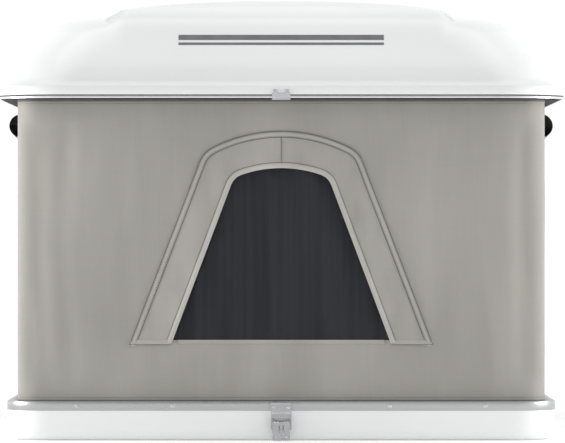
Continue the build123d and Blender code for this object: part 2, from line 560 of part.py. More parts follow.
side_wall = cloth & block((500, 700), (-END_Y, END_Y), tall)
side_wall -= plate_yz(door, WALL_HALF_W - 10, WALL_HALF_W + 10)
roll = rod_y(ROLL_X, ROLL_Z, ROLL_R, -ROLL_HALF_L, ROLL_HALF_L)
for name, solid in (("wall", side_wall), ("door_roll", roll)):
    nodes[name + "_right"] = solid
    nodes[name + "_left"] = HALF_TURN * solid
pair("door_zips", plate_yz(zip_band, WALL_HALF_W, WALL_HALF_W + 1.2))
ties = [door_tie(y) for y in (-430, 0, 430)]
nodes["door_ties"] = group(ties + [HALF_TURN * tie for tie in ties])

# ---- files ----------------------------------------------------------------------------------
os.makedirs("parts", exist_ok=True)
for name, solid in nodes.items():
    export_step(solid, f"parts/{name}.step")
print(len(nodes), "nodes; lift", LIFT, "open", round(OPEN_ANGLE, 4), "shut", round(SHUT_ANGLE, 4))
print("slider", round(SLIDER_X, 4), "middle", round(MIDDLE_X, 4), MIDDLE_Z)
print("travel", round(REACH_SHUT - REACH_OPEN, 2))
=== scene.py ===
import math

import bmesh
import bpy
import numpy as np
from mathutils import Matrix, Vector, noise
from mathutils.geometry import delaunay_2d_cdt


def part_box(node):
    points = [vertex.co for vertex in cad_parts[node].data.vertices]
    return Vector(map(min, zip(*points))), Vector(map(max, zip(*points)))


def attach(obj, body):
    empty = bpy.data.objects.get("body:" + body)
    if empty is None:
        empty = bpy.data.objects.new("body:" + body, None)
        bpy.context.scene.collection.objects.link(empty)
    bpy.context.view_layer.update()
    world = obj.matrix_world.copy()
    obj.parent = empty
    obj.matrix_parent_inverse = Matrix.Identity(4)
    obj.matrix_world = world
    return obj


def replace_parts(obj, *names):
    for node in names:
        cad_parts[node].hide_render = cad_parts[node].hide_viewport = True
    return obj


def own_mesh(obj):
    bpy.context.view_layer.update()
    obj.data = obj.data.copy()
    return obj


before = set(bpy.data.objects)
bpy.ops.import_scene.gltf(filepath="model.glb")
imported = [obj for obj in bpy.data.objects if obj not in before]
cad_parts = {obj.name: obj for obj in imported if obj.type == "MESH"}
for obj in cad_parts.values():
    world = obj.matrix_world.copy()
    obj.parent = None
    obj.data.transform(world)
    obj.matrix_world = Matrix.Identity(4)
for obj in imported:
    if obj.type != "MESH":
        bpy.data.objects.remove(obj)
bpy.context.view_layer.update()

# ---- sizes, in metres, from the frame where it has them ---------------------------------------
TRIM_LOW, TRIM_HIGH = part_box("roof_trim")
CLOTH_LOW, CLOTH_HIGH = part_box("wall_front")
RIM_LOW, RIM_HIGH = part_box("rim_rail")
ROLL_LOW, ROLL_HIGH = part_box("door_roll_right")

LID_HALF_W, LID_HALF_L, LID_CORNER = TRIM_HIGH.x - 0.001, TRIM_HIGH.y - 0.001, 0.150
LID_SKIN, LID_EDGE = 0.004, TRIM_HIGH.z
SKIRT_TOP = 0.811
END_SLOPE = 1.25  # the lid's ends draw in this much faster than its sides
CLOTH_HALF_W, CLOTH_HALF_L, CLOTH_CORNER = CLOTH_HIGH.x, -CLOTH_LOW.y, 0.050
END_HALF = CLOTH_HALF_W - CLOTH_CORNER + CLOTH_CORNER * math.pi / 2  # an end wall, round its corners
SIDE_HALF = CLOTH_HALF_L - CLOTH_CORNER
CLOTH_T = 0.0012
RIM_CORNER = 0.096

# The lid's outside: height and half width. CROWN is its raised middle, with a half length too.
LID_SIDE = (
    (0.818, 0.635), (0.839, 0.6265), (0.865, 0.611), (0.915, 0.571), (0.939, 0.551),
    (0.9555, 0.531), (0.9665, 0.501), (0.978, 0.448), (0.9865, 0.389), (0.989, 0.300),
)
CROWN = (
    (0.865, 0.396, 0.998), (0.915, 0.394, 0.954), (0.939, 0.392, 0.933), (0.954, 0.390, 0.915),
    (0.970, 0.386, 0.885), (0.983, 0.380, 0.845), (0.991, 0.366, 0.808), (0.998, 0.326, 0.775),
    (1.007, 0.236, 0.745), (1.013, 0.110, 0.720), (1.0145, 0.060, 0.700),
)
CROWN_CORNER = 0.030
# The skirt, from its lower edge up: distance in from the lid's widest line, and height.
SKIRT = (
    (0.0022, 0.7862), (0.0008, 0.7870), (0.0002, 0.7890), (0.0, 0.796), (0.0004, 0.803),
    (0.0016, 0.8072), (0.0040, 0.8096), (0.0076, 0.8108), (0.0106, 0.8128), (0.0132, 0.8156),
)

# Window: foot half width, foot, shoulder half width, shoulder, top of the arch, corner radius.
WINDOW_BAND = (0.346, 0.217, 0.178, 0.655, 0.704, 0.060)
WINDOW_MESH = (0.247, 0.228, 0.108, 0.598, 0.620, 0.038)
BAND_OVERHANG = 0.020  # the band's inner edge runs down this far past the mesh
DOOR_HALF_L, DOOR_LOW, DOOR_HIGH, DOOR_CORNER = 0.660, 0.150, 0.757, 0.045
ZIP_WIDTH, ZIP_TOP = 0.014, 0.688
TIE_PLACES = (-0.430, 0.0, 0.430)


# ---- materials --------------------------------------------------------------------------------
class Shader:
    """A Principled material with short calls for the nodes that the finishes share."""

    def __init__(self, name, colour, roughness, metallic=0.0, **constant):
        self.material = bpy.data.materials.new(name)
        self.material.use_nodes = True
        self.tree = self.material.node_tree
        self.shader = self.tree.nodes["Principled BSDF"]
        self.shader.inputs["Base Color"].default_value = (*colour, 1)
        self.shader.inputs["Roughness"].default_value = roughness
        self.shader.inputs["Metallic"].default_value = metallic
        for socket, value in constant.items():
            self.shader.inputs[socket.replace("_", " ")].default_value = value
        self.place = self.node("ShaderNodeTexCoord").outputs["Object"]

    def node(self, kind, **settings):
        made = self.tree.nodes.new(kind)
        for key, value in settings.items():
            if key in made.inputs:
                made.inputs[key].default_value = value
            else:
                setattr(made, key, value)
        return made

    def link(self, a, b):
        self.tree.links.new(a, b)

    def stretched(self, scale):
        mapping = self.node("ShaderNodeMapping")
        mapping.inputs["Scale"].default_value = scale
        self.link(self.place, mapping.inputs["Vector"])
        return mapping.outputs["Vector"]

    def noise(self, scale, detail=3.0, stretch=(1, 1, 1)):
        made = self.node("ShaderNodeTexNoise", Scale=scale, Detail=detail)
        self.link(self.stretched(stretch), made.inputs["Vector"])
        return made.outputs["Fac"]

    def math(self, operation, a, b):
        made = self.node("ShaderNodeMath", operation=operation)
        for socket, value in zip(made.inputs, (a, b)):
            if isinstance(value, float):
                socket.default_value = value
            else:
                self.link(value, socket)
        return made.outputs[0]

    def ramp(self, source, low, high, *colours):
        """Blends colours over a stretch of the source's values."""
        made = self.node("ShaderNodeValToRGB")
        elements = made.color_ramp.elements
        elements[0].position, elements[1].position = low, high
        for element, colour in zip(elements, colours):
            element.color = (*colour, 1)
        self.link(source, made.inputs["Fac"])
        return made.outputs["Color"]

    def vary_colour(self, source, low_colour, high_colour, low=0.3, high=0.7):
        blended = self.ramp(source, low, high, low_colour, high_colour)
        self.link(blended, self.shader.inputs["Base Color"])

    def vary_roughness(self, source, low_value, high_value):
        made = self.node("ShaderNodeMapRange")
        made.inputs["From Min"].default_value, made.inputs["From Max"].default_value = 0.3, 0.7
        made.inputs["To Min"].default_value = low_value
        made.inputs["To Max"].default_value = high_value
        self.link(source, made.inputs["Value"])
        self.link(made.outputs["Result"], self.shader.inputs["Roughness"])

    def bump(self, source, distance, strength=1.0):
        made = self.node("ShaderNodeBump", Strength=strength, Distance=distance)
        self.link(source, made.inputs["Height"])
        previous = self.shader.inputs["Normal"].links
        if previous:
            self.link(previous[0].from_socket, made.inputs["Normal"])
        self.link(made.outputs["Normal"], self.shader.inputs["Normal"])

    def weave(self, thread):
        """Over-and-under threads of that width. Along the wall is x + y, and up is z."""
        split = self.node("ShaderNodeSeparateXYZ")
        self.link(self.place, split.inputs[0])
        along = self.math("ADD", split.outputs["X"], split.outputs["Y"])
        turn = math.pi / thread
        warp = self.math("SINE", self.math("MULTIPLY", along, turn), 0.0)
        weft = self.math("SINE", self.math("MULTIPLY", split.outputs["Z"], turn), 0.0)
        return self.math("MULTIPLY", warp, weft)


def tint(colour, factor):
    return tuple(min(1.0, c * factor) for c in colour)


def gelcoat(name, level):
    colour = (level, level + 0.008, level + 0.008)
    made = Shader(name, colour, 0.22, Coat_Weight=0.35, Coat_Roughness=0.08)
    made.vary_colour(made.noise(3.0), tint(colour, 0.98), tint(colour, 1.02))
    made.vary_roughness(made.noise(9.0), 0.18, 0.27)
    made.bump(made.noise(42.0, 2.0), 0.00012, 0.6)  # orange peel
    return made.material


def brushed_metal(name, colour, roughness, stretch, metallic=0.95, scratch=0.00004):
    made = Shader(name, colour, roughness, metallic)
    streaks = made.noise(60.0, 4.0, stretch)
    made.vary_colour(streaks, tint(colour, 0.88), tint(colour, 1.06))
    made.vary_roughness(streaks, roughness * 0.75, roughness * 1.35)
    made.bump(made.noise(240.0, 3.0, stretch), scratch, 0.7)
    return made.material


def steel(name, colour, roughness):
    made = Shader(name, colour, roughness, 1.0)
    made.vary_colour(made.noise(25.0), tint(colour, 0.8), tint(colour, 1.1))
    made.vary_roughness(made.noise(90.0), roughness * 0.8, roughness * 1.5)
    return made.material


def threaded_rod():
    """Zinc-plated steel with a trapezoidal thread along X."""
    made = Shader("screw_thread", (0.55, 0.55, 0.53), 0.32, 1.0)
    thread = made.node("ShaderNodeTexWave", bands_direction="X", Scale=55.0)
    made.link(made.place, thread.inputs["Vector"])
    made.bump(thread.outputs["Fac"], 0.0012)
    made.vary_roughness(made.noise(80.0), 0.25, 0.45)
    return made.material


def canvas(name, colour, thread=0.0011, depth=0.00025):
    """Coated cotton canvas: woven threads, slubs both ways and faint cloudy wear."""
    made = Shader(name, colour, 0.86, Sheen_Weight=0.22, Sheen_Roughness=0.5, Specular_IOR_Level=0.25)
    clouds = made.noise(7.0, 1.0, (1.0, 1.0, 0.35))
    slubs = made.noise(160.0, 2.0, (1.0, 1.0, 0.06))
    cross = made.noise(150.0, 2.0, (0.06, 0.06, 1.0))
    mixed = made.math("ADD", made.math("MULTIPLY", clouds, 0.78), made.math("MULTIPLY", slubs, 0.14))
    mixed = made.math("ADD", mixed, made.math("MULTIPLY", cross, 0.08))
    made.vary_colour(mixed, tint(colour, 0.94), tint(colour, 1.06), 0.36, 0.64)
    made.bump(made.weave(thread), depth, 0.5)
    made.bump(made.math("ADD", slubs, cross), 0.0002, 0.25)
    made.bump(clouds, 0.004, 0.25)
    return made.material


def insect_mesh():
    """Charcoal netting: a fine square grid that catches a little light."""
    made = Shader("insect_mesh", (0.012, 0.013, 0.016), 0.62, Specular_IOR_Level=0.2)
    split = made.node("ShaderNodeSeparateXYZ")
    made.link(made.place, split.inputs[0])
    lines = []
    for axis in ("X", "Z"):
        wave = made.math("SINE", made.math("MULTIPLY", split.outputs[axis], math.tau / 0.0046), 0.0)
        lines.append(made.math("POWER", made.math("ABSOLUTE", wave, 0.0), 6.0))
    grid = made.math("MAXIMUM", *lines)
    streaks = made.noise(75.0, 2.0, (1.0, 1.0, 0.03))
    broad = made.noise(15.0, 1.0, (1.0, 1.0, 0.10))
    shade = made.math("ADD", made.math("MULTIPLY", streaks, 0.45), made.math("MULTIPLY", broad, 0.55))
    lit = made.math("ADD", made.math("MULTIPLY", grid, 0.25), shade)
    made.vary_colour(lit, (0.008, 0.009, 0.011), (0.030, 0.031, 0.037), 0.35, 0.85)
    made.bump(grid, 0.0005, 0.6)
    return made.material


def stitched(name, colour):
    made = Shader(name, colour, 0.7)
    made.vary_colour(made.noise(400.0), tint(colour, 0.8), tint(colour, 1.1))
    made.bump(made.noise(900.0), 0.0002)
    return made.material


def quilted(name, colour, thread=0.0008):
    made = Shader(name, colour, 0.9, Sheen_Weight=0.35)
    made.vary_colour(made.noise(14.0), tint(colour, 0.9), tint(colour, 1.08))
    made.bump(made.weave(thread), 0.0002, 0.5)
    made.bump(made.noise(180.0), 0.0004, 0.4)
    return made.material


def felt():
    made = Shader("felt_dark", (0.055, 0.055, 0.06), 0.95, Sheen_Weight=0.5)
    made.vary_colour(made.noise(260.0, 5.0), (0.035, 0.035, 0.04), (0.09, 0.09, 0.095))
    made.bump(made.noise(700.0, 4.0), 0.0008, 0.8)
    return made.material


def plastic(name, colour, roughness, grain=500.0, depth=0.00006):
    made = Shader(name, colour, roughness)
    made.vary_colour(made.noise(30.0), tint(colour, 0.85), tint(colour, 1.15))
    made.vary_roughness(made.noise(60.0), roughness * 0.85, min(1.0, roughness * 1.2))
    made.bump(made.noise(grain), depth, 0.7)
    return made.material


def foam():
    made = Shader("foam_white", (0.82, 0.80, 0.74), 0.9)
    cells = made.node("ShaderNodeTexVoronoi", Scale=240.0)
    made.link(made.place, cells.inputs["Vector"])
    made.vary_colour(cells.outputs["Distance"], (0.72, 0.70, 0.64), (0.86, 0.84, 0.78), 0.0, 0.8)
    made.bump(cells.outputs["Distance"], 0.0006)
    return made.material


TAUPE = (0.335, 0.322, 0.298)
ALONG_X = (0.02, 1, 1)
# The lid's gelcoat is a darker copy of the tray's: painted shade, offsetting the stronger light that falls
# on the lid.
LID_GELCOAT_SHADED = gelcoat("gelcoat_lid_shaded", 0.74)
TRAY = gelcoat("gelcoat_tray", 0.79)
TRIM = brushed_metal("trim_satin", (0.86, 0.87, 0.88), 0.20, (0.02, 0.02, 1.0))
RIM = brushed_metal("rim_satin", (0.46, 0.465, 0.47), 0.27, (0.02, 0.02, 1.0))
# Near-black rails: painted shadow in the gaps under the lid and above the rim.
RAIL_SHADOW_BLACK = brushed_metal("rail_painted_shadow_black", (0.030, 0.030, 0.032), 0.42, (0.02, 0.02, 1.0))
BAR = brushed_metal("bar_aluminium", (0.62, 0.63, 0.65), 0.38, ALONG_X)
STAINLESS = brushed_metal("latch_stainless", (0.50, 0.51, 0.525), 0.28, ALONG_X)
KEEPER = brushed_metal("keeper_bright", (0.82, 0.83, 0.84), 0.22, ALONG_X)
ZINC = steel("zinc_steel", (0.56, 0.56, 0.54), 0.34)
SCREW_HEAD = steel("screw_head", (0.66, 0.66, 0.67), 0.24)
THREAD = threaded_rod()
CANVAS = canvas("canvas_taupe", TAUPE)
# Lighter copies of the taupe canvas for the band, its hems and its bound inner edge: painted highlight on
# these raised strips.
BAND = canvas("canvas_band_highlight", tint(TAUPE, 1.06))
HEM = canvas("canvas_hem_highlight", tint(TAUPE, 1.16), 0.0009)
BOUND = canvas("canvas_bound_edge_highlight", tint(TAUPE, 1.34), 0.0009)
MESH = insect_mesh()
STITCH = stitched("stitch_thread", (0.15, 0.145, 0.13))
# Dark taupe: painted shade lines at the window band's edges and seams.
SEAM_SHADE = stitched("painted_seam_shade", (0.120, 0.114, 0.103))
# Dark taupe: painted shadow along the wall's head under the lid and along its foot above the rim.
EDGE_SHADOW_TAPE = stitched("painted_edge_shadow", (0.130, 0.124, 0.114))
STITCH_LIGHT = stitched("stitch_light", (0.55, 0.54, 0.51))
WEBBING = canvas("webbing", (0.085, 0.083, 0.08), 0.0016, 0.0005)
ZIP_TAPE = canvas("zip_tape", (0.075, 0.073, 0.070), 0.0010)
ZIP_TEETH = plastic("zip_teeth", (0.035, 0.035, 0.036), 0.45)
QUILT = quilted("mattress_cover", (0.36, 0.37, 0.40))
PIPING = quilted("mattress_piping", (0.12, 0.12, 0.13))
LINING = quilted("headliner_cover", (0.60, 0.585, 0.55))
FELT = felt()
RUBBER = plastic("rubber_black", (0.018, 0.018, 0.019), 0.75, 300.0, 0.0001)
NYLON = plastic("nylon_black", (0.045, 0.045, 0.048), 0.5)
GRIP = plastic("grip_black", (0.028, 0.028, 0.028), 0.6, 260.0, 0.0002)
LAMP = plastic("lamp_white", (0.80, 0.80, 0.79), 0.3)
FOAM = foam()
DECAL_GREY = plastic("decal_grey", (0.12, 0.12, 0.13), 0.35)


def lens():
    made = Shader("lens_frosted", (0.93, 0.93, 0.90), 0.45, Transmission_Weight=0.55, IOR=1.49)
    made.bump(made.noise(400.0), 0.0003, 0.6)
    return made.material


NODE_FINISH = {
    TRAY: ("base_shell",),
    TRIM: ("mount_rails",),
    RAIL_SHADOW_BLACK: ("roof_keder_rail", "base_keder_rail"),
    BAR: ("arm_outer_front", "arm_outer_rear", "arm_inner_front", "arm_inner_rear",
          "scissor_sills", "roof_beams", "roof_tracks"),
    ZINC: ("lower_pivot_brackets", "upper_pivot_brackets", "lower_pivot_pins", "upper_pivot_pins",
           "arm_pins_front", "arm_pins_rear", "drive_shaft", "crank_input_shaft", "crank_handle"),
    THREAD: ("lift_screw_front", "lift_screw_rear"),
    STAINLESS: ("latch_plates", "latch_lever_front", "latch_lever_rear", "latch_claw_front",
                "latch_claw_rear", "rim_joint_covers"),
    KEEPER: ("lid_keepers",),
    SCREW_HEAD: ("rim_screws", "keeper_screws"),
    NYLON: ("screw_bearings", "shaft_hangers", "crank_socket_bush", "lift_nut_front", "lift_nut_rear",
            "track_roller_front", "track_roller_rear"),
    GRIP: ("crank_knob",),
    RUBBER: ("roof_seal",),
    FOAM: ("roof_insulation",),
    LAMP: ("lamp_housing", "lamp_switch"),
    lens(): ("lamp_lens",),
}


def finish_cad_nodes():
    for material, names in NODE_FINISH.items():
        for name in names:
            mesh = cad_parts[name].data
            mesh.materials.clear()
            mesh.materials.append(material)


# ---- mesh helpers -----------------------------------------------------------------------------
def make_object(name, vertices, faces, material, smooth=True):
    mesh = bpy.data.meshes.new(name)
    mesh.from_pydata([tuple(v) for v in vertices], [], [tuple(f) for f in faces])
    mesh.materials.append(material)
    mesh.polygons.foreach_set("use_smooth", [smooth] * len(mesh.polygons))
    made = bpy.data.objects.new(name, mesh)
    bpy.context.scene.collection.objects.link(made)
    return made


def clean_normals(obj):
    work = bmesh.new()
    work.from_mesh(obj.data)
    bmesh.ops.recalc_face_normals(work, faces=work.faces)
    work.to_mesh(obj.data)
    work.free()
    return obj


def apply_modifiers(obj):
    bpy.context.view_layer.update()
    evaluated = obj.evaluated_get(bpy.context.evaluated_depsgraph_get())
    mesh = bpy.data.meshes.new_from_object(evaluated)
    obj.modifiers.clear()
    obj.data = mesh
    return obj


def thicken(obj, thickness, offset=-1.0):
    modifier = obj.modifiers.new("cloth", "SOLIDIFY")
    modifier.thickness = thickness
    modifier.offset = offset
    return apply_modifiers(obj)


def merged(name, parts, material):
    """One object from a list of (vertices, faces)."""
    vertices, faces = [], []
    for part_vertices, part_faces in parts:
        start = len(vertices)
        vertices += [tuple(v) for v in part_vertices]
        faces += [tuple(start + i for i in face) for face in part_faces]
    return make_object(name, vertices, faces, material)


def turned(points, flip):
    """Points at the other end or side: half a turn about Z."""
    points = np.array(points, float)
    if flip:
        points[:, :2] *= -1
    return points


def smooth_step(value, low, high):
    t = np.clip((np.asarray(value, float) - low) / (high - low), 0, 1)
    return t * t * (3 - 2 * t)


def rounded_rectangle(half_w, half_l, corner, per_end=140, per_side=72, per_corner=18):
    """Plan points of a rounded rectangle, anticlockwise from the front left, always as many."""
    ends = ((-1, -1, 180), (1, -1, 270), (1, 1, 0), (-1, 1, 90))
    points = []
    for k, (sx, sy, angle) in enumerate(ends):
        centre = np.array((sx * (half_w - corner), sy * (half_l - corner)))
        turn = np.radians(angle + np.linspace(0, 90, per_corner + 1))
        arc = centre + corner * np.stack((np.cos(turn), np.sin(turn)), 1)
        nx, ny, _ = ends[(k + 1) % 4]
        next_centre = np.array((nx * (half_w - corner), ny * (half_l - corner)))
        first = next_centre + corner * np.array((math.cos(turn[-1]), math.sin(turn[-1])))
        count = per_end if k % 2 == 0 else per_side
        share = np.linspace(0, 1, count + 1)[1:-1, None]
        points.append(arc)
        points.append(arc[-1] + share * (first - arc[-1]))
    return np.concatenate(points)


def loft(name, rings, material, wrap=False, cap=False):
    """Quads between rings of as many points. wrap joins the last ring to the first."""
    count = len(rings[0])
    faces = []
    for k in range(len(rings) if wrap else len(rings) - 1):
        a, b = k * count, (k + 1) % len(rings) * count
        for i in range(count):
            j = (i + 1) % count
            faces.append((a + i, a + j, b + j, b + i))
    if cap:
        faces.append(tuple((len(rings) - 1) * count + i for i in range(count)))
    return clean_normals(make_object(name, np.concatenate(rings), faces, material))


def ring_at(half_w, half_l, corner, z):
    plan = rounded_rectangle(half_w, half_l, corner)
    height = np.broadcast_to(z, len(plan)) if np.ndim(z) == 0 else z
    return np.column_stack((plan, height))


def frame_sweep(name, half_w, half_l, corner, profile, material):
    """A closed profile of (outwards, height) carried round a rounded rectangle."""
    rings = [ring_at(half_w + out, half_l + out, corner + out, z) for out, z in profile]
    return loft(name, rings, material, wrap=True)


def rounded_profile(out_low, out_high, z_low, z_high, radius, steps=4):
    """A rectangle with rounded corners, as a profile for frame_sweep."""
    corners = (
        (out_high - radius, z_low + radius, 270), (out_high - radius, z_high - radius, 0),
        (out_low + radius, z_high - radius, 90), (out_low + radius, z_low + radius, 180),
    )
    points = []
    for out, z, angle in corners:
        for turn in np.radians(angle + np.linspace(0, 90, steps + 1)):
            points.append((out + radius * math.cos(turn), z + radius * math.sin(turn)))
    return points


def curve_through(points, count):
    """Evenly spaced points of a smooth curve through a list of points."""
    points = np.array(points, float)
    padded = np.concatenate(([2 * points[0] - points[1]], points, [2 * points[-1] - points[-2]]))
    dense = []
    for k in range(len(points) - 1):
        p0, p1, p2, p3 = padded[k:k + 4]
        for t in np.linspace(0, 1, 24, endpoint=False):
            dense.append(0.5 * (2 * p1 + (p2 - p0) * t + (2 * p0 - 5 * p1 + 4 * p2 - p3) * t**2
                                + (3 * p1 - p0 - 3 * p2 + p3) * t**3))
    dense = np.array(dense + [points[-1]])
    run = np.concatenate(([0], np.cumsum(np.linalg.norm(np.diff(dense, axis=0), axis=1))))
    return np.column_stack([np.interp(np.linspace(0, run[-1], count), run, column) for column in dense.T])


# ---- the lid ------------------------------------------------------------------------------------
def height_in_stack(x, y, levels, half_w, half_l, corner):
    """Height at which a plan point lies on the edge of a stack of nested rounded rectangles."""
    over_x = np.abs(x)[:, None] - (half_w - corner)
    over_y = np.abs(y)[:, None] - (half_l - corner)
    out = np.hypot(np.maximum(over_x, 0), np.maximum(over_y, 0))
    out += np.minimum(np.maximum(over_x, over_y), 0) - corner
    count = (out <= 0).sum(1)
    k = np.clip(count, 1, len(levels) - 1)
    rows = np.arange(len(k))
    near, far = out[rows, k - 1], out[rows, k]
    share = np.clip(near / np.minimum(near - far, -1e-9), 0, 1)
    height = levels[k - 1] + share * (levels[k] - levels[k - 1])
    height = np.where(count >= len(levels), levels[-1], height)
    return np.where(count == 0, -1.0, height)


BODY_LEVELS, BODY_HALF_W = curve_through(LID_SIDE, 90).T
CROWN_LEVELS, CROWN_HALF_W, CROWN_HALF_L = curve_through(CROWN, 110).T


def body_half_l(half_w):
    return LID_HALF_L - END_SLOPE * (LID_HALF_W - half_w)


def body_corner(z):
    return LID_CORNER + 0.5 * (z - SKIRT_TOP)


def lid_height(x, y):
    """Height of the lid's outside over a plan point: its body and its crown, softly joined."""
    body = height_in_stack(
        x, y, BODY_LEVELS, BODY_HALF_W, body_half_l(BODY_HALF_W), body_corner(BODY_LEVELS)
    )
    body = np.where(body < 0, LID_SIDE[0][0], body)
    crown = height_in_stack(x, y, CROWN_LEVELS, CROWN_HALF_W, CROWN_HALF_L, CROWN_CORNER)
    blend = 0.0030
    share = np.maximum(blend - np.abs(body - crown), 0) / blend
    return np.maximum(body, crown) + share * share * blend / 4


def lid_rings(skin):
    """Rings over the lid from its shoulder to the middle of its top, moved in by skin."""
    rings = []
    for z, half_w in zip(BODY_LEVELS[::2], BODY_HALF_W[::2]):
        if half_w < CROWN_HALF_W.min() + 0.28:
            break
        rings.append((half_w, body_half_l(half_w), body_corner(z)))
    last_w, last_l, last_corner = rings[-1]
    for share in np.linspace(1, 0.03, 26)[1:]:
        rings.append((last_w * share, last_l - last_w * (1 - share), last_corner * share))
    made = []
    for half_w, half_l, corner in rings:
        plan = rounded_rectangle(half_w, half_l, corner)
        height = lid_height(plan[:, 0], plan[:, 1])
        shrunk = rounded_rectangle(half_w - min(skin, half_w / 2), half_l - skin,
                                   max(corner - skin, corner / 2))
        made.append(np.column_stack((shrunk, height - skin)))
    return made


def roof_skin():
    """The moulded lid: skirt, sloping sides and crown outside, and its inside with the flange."""
    outer = []
    for inset, z in SKIRT:
        outer.append(ring_at(LID_HALF_W - inset, LID_HALF_L - END_SLOPE * inset, LID_CORNER - inset / 2, z))
    outer += lid_rings(0.0)
    flange_w, flange_l = CLOTH_HALF_W - 0.0065, CLOTH_HALF_L - 0.0065
    under = LID_HALF_W - 0.013
    under_l = LID_HALF_L - 0.013
    inner = [
        ring_at(under, under_l, LID_CORNER - 0.013, z)
        for z in (LID_EDGE + 0.0002, 0.803)
    ]
    inner += [ring_at(flange_w, flange_l, CLOTH_CORNER - 0.0065, z) for z in (0.803, 0.808)]
    inner += [ring_at(under, under_l, LID_CORNER - 0.013, z) for z in (0.808, 0.812)]
    inner += lid_rings(LID_SKIN)
    edge = ring_at(LID_HALF_W - 0.006, LID_HALF_L - 0.006, LID_CORNER - 0.006, LID_EDGE + 0.0002)
    rings = list(reversed(inner)) + [edge] + outer
    count = len(rings[0])
    skin = loft("roof_skin", rings, LID_GELCOAT_SHADED, cap=True)
    work = bmesh.new()
    work.from_mesh(skin.data)
    work.verts.ensure_lookup_table()
    work.faces.new([work.verts[i] for i in range(count)])
    bmesh.ops.recalc_face_normals(work, faces=work.faces)
    work.to_mesh(skin.data)
    work.free()
    skin.data.polygons.foreach_set("use_smooth", [True] * len(skin.data.polygons))
    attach(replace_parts(skin, "roof_shell"), "roof")


def lid_edge_trim():
    """The polished strip round the lid's edge, and the dark gasket that the lid sits on."""
    low, high = TRIM_LOW.z + 0.0028, TRIM_HIGH.z
    profile = rounded_profile(-0.006, 0.0, low, high, 0.0012)
    strip = frame_sweep("lid_trim_strip", LID_HALF_W + 0.001, LID_HALF_L + 0.001, LID_CORNER + 0.001,
                        profile, TRIM)
    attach(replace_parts(strip, "roof_trim"), "roof")
    bead = rounded_profile(-0.005, -0.0011, high - 0.0002, high + 0.0024, 0.0008)
    gasket = frame_sweep("lid_gasket", LID_HALF_W, LID_HALF_L, LID_CORNER, bead, RUBBER)
    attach(gasket, "roof")
    reach_w, reach_l, corner = LID_HALF_W - 0.0135, LID_HALF_L - 0.0135, LID_CORNER - 0.0135
    rings = [ring_at(reach_w, reach_l, corner, z) for z in (LID_EDGE + 0.0006, 0.8026)]
    rings.append(ring_at(CLOTH_HALF_W + 0.0010, CLOTH_HALF_L + 0.0010, CLOTH_CORNER + 0.0010, 0.8026))
    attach(loft("lid_underside_seal", rings, RUBBER), "roof")


def base_rim():
    """The satin aluminium rim with its folded top and rounded edges."""
    low, high = RIM_LOW.z, RIM_HIGH.z
    skin, round_edge = 0.003, 0.0024
    depth = RIM_HIGH.x - CLOTH_HALF_W - 0.0007
    profile = [(-skin, low), (-0.0006, low), (0.0, low + 0.0008), (0.0, high - round_edge)]
    for turn in np.radians(np.linspace(15, 90, 6)):
        profile.append((-round_edge * (1 - math.cos(turn)), high - round_edge * (1 - math.sin(turn))))
    profile += [(-depth + 0.001, high), (-depth, high - 0.001), (-depth, high - skin), (-skin, high - skin)]
    rim = frame_sweep("rim_extrusion", RIM_HIGH.x, RIM_HIGH.y, RIM_CORNER, profile, RIM)
    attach(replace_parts(rim, "rim_rail"), "base")


def crown_face_y(z):
    """How far forward the crown's end face stands at a height."""
    return -np.interp(z, CROWN_LEVELS, CROWN_HALF_L)


def lid_decal():
    """Two plain grey stripes across the lid's front end."""
    half_w, rows, columns = 0.235, 4, 41
    for name, low, high in (("lid_stripe_upper", 0.914, 0.926), ("lid_stripe_lower", 0.902, 0.908)):
        points = [(x, crown_face_y(z) - 0.0007, z)
                  for z in np.linspace(low, high, rows) for x in np.linspace(-half_w, half_w, columns)]
        faces = [(r * columns + c, r * columns + c + 1, (r + 1) * columns + c + 1, (r + 1) * columns + c)
                 for r in range(rows - 1) for c in range(columns - 1)]
        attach(merged(name, [(points, faces)], DECAL_GREY), "roof")


# ---- cloth --------------------------------------------------------------------------------------
def inside(points, loop):
    """Which points lie inside a closed outline."""
    x, y = points[:, 0], points[:, 1]
    result = np.zeros(len(points), bool)
    for (x0, y0), (x1, y1) in zip(loop, np.roll(loop, -1, axis=0)):
        if y0 == y1:
            continue
        crosses = (y0 > y) != (y1 > y)
        result ^= crosses & (x < (x1 - x0) * (y - y0) / (y1 - y0) + x0)
    return result


def distance_to(points, loop, closed=True):
    """Distance from each point to an outline."""
    best = np.full(len(points), 9.0)
    ends = np.roll(loop, -1, axis=0) if closed else loop[1:]
    for start, end in zip(loop, ends):
        along = end - start
        share = np.clip(((points - start) @ along) / max(along @ along, 1e-12), 0, 1)
        gap = points - start - share[:, None] * along
        best = np.minimum(best, np.hypot(gap[:, 0], gap[:, 1]))
    return best


def even_outline(loop, spacing, closed=True):
    """The same outline with evenly spaced points, and with its sharp corners kept."""
    path = np.concatenate((loop, loop[:1])) if closed else np.array(loop)
    steps = np.diff(path, axis=0)
    run = np.concatenate(([0], np.cumsum(np.linalg.norm(steps, axis=1))))
    heading = np.unwrap(np.arctan2(steps[:, 1], steps[:, 0]))
    sharp = run[1:-1][np.abs(np.diff(heading)) > math.radians(20)]
    stops = np.linspace(0, run[-1], max(4, int(run[-1] / spacing)) + 1)
    if len(sharp):
        near_corner = np.abs(stops[:, None] - sharp).min(1) < spacing * 0.4
        stops = np.sort(np.concatenate((stops[~near_corner], sharp)))
    if closed:
        stops = stops[stops < run[-1] - spacing * 0.4]
    return np.column_stack([np.interp(stops, run, column) for column in path.T])


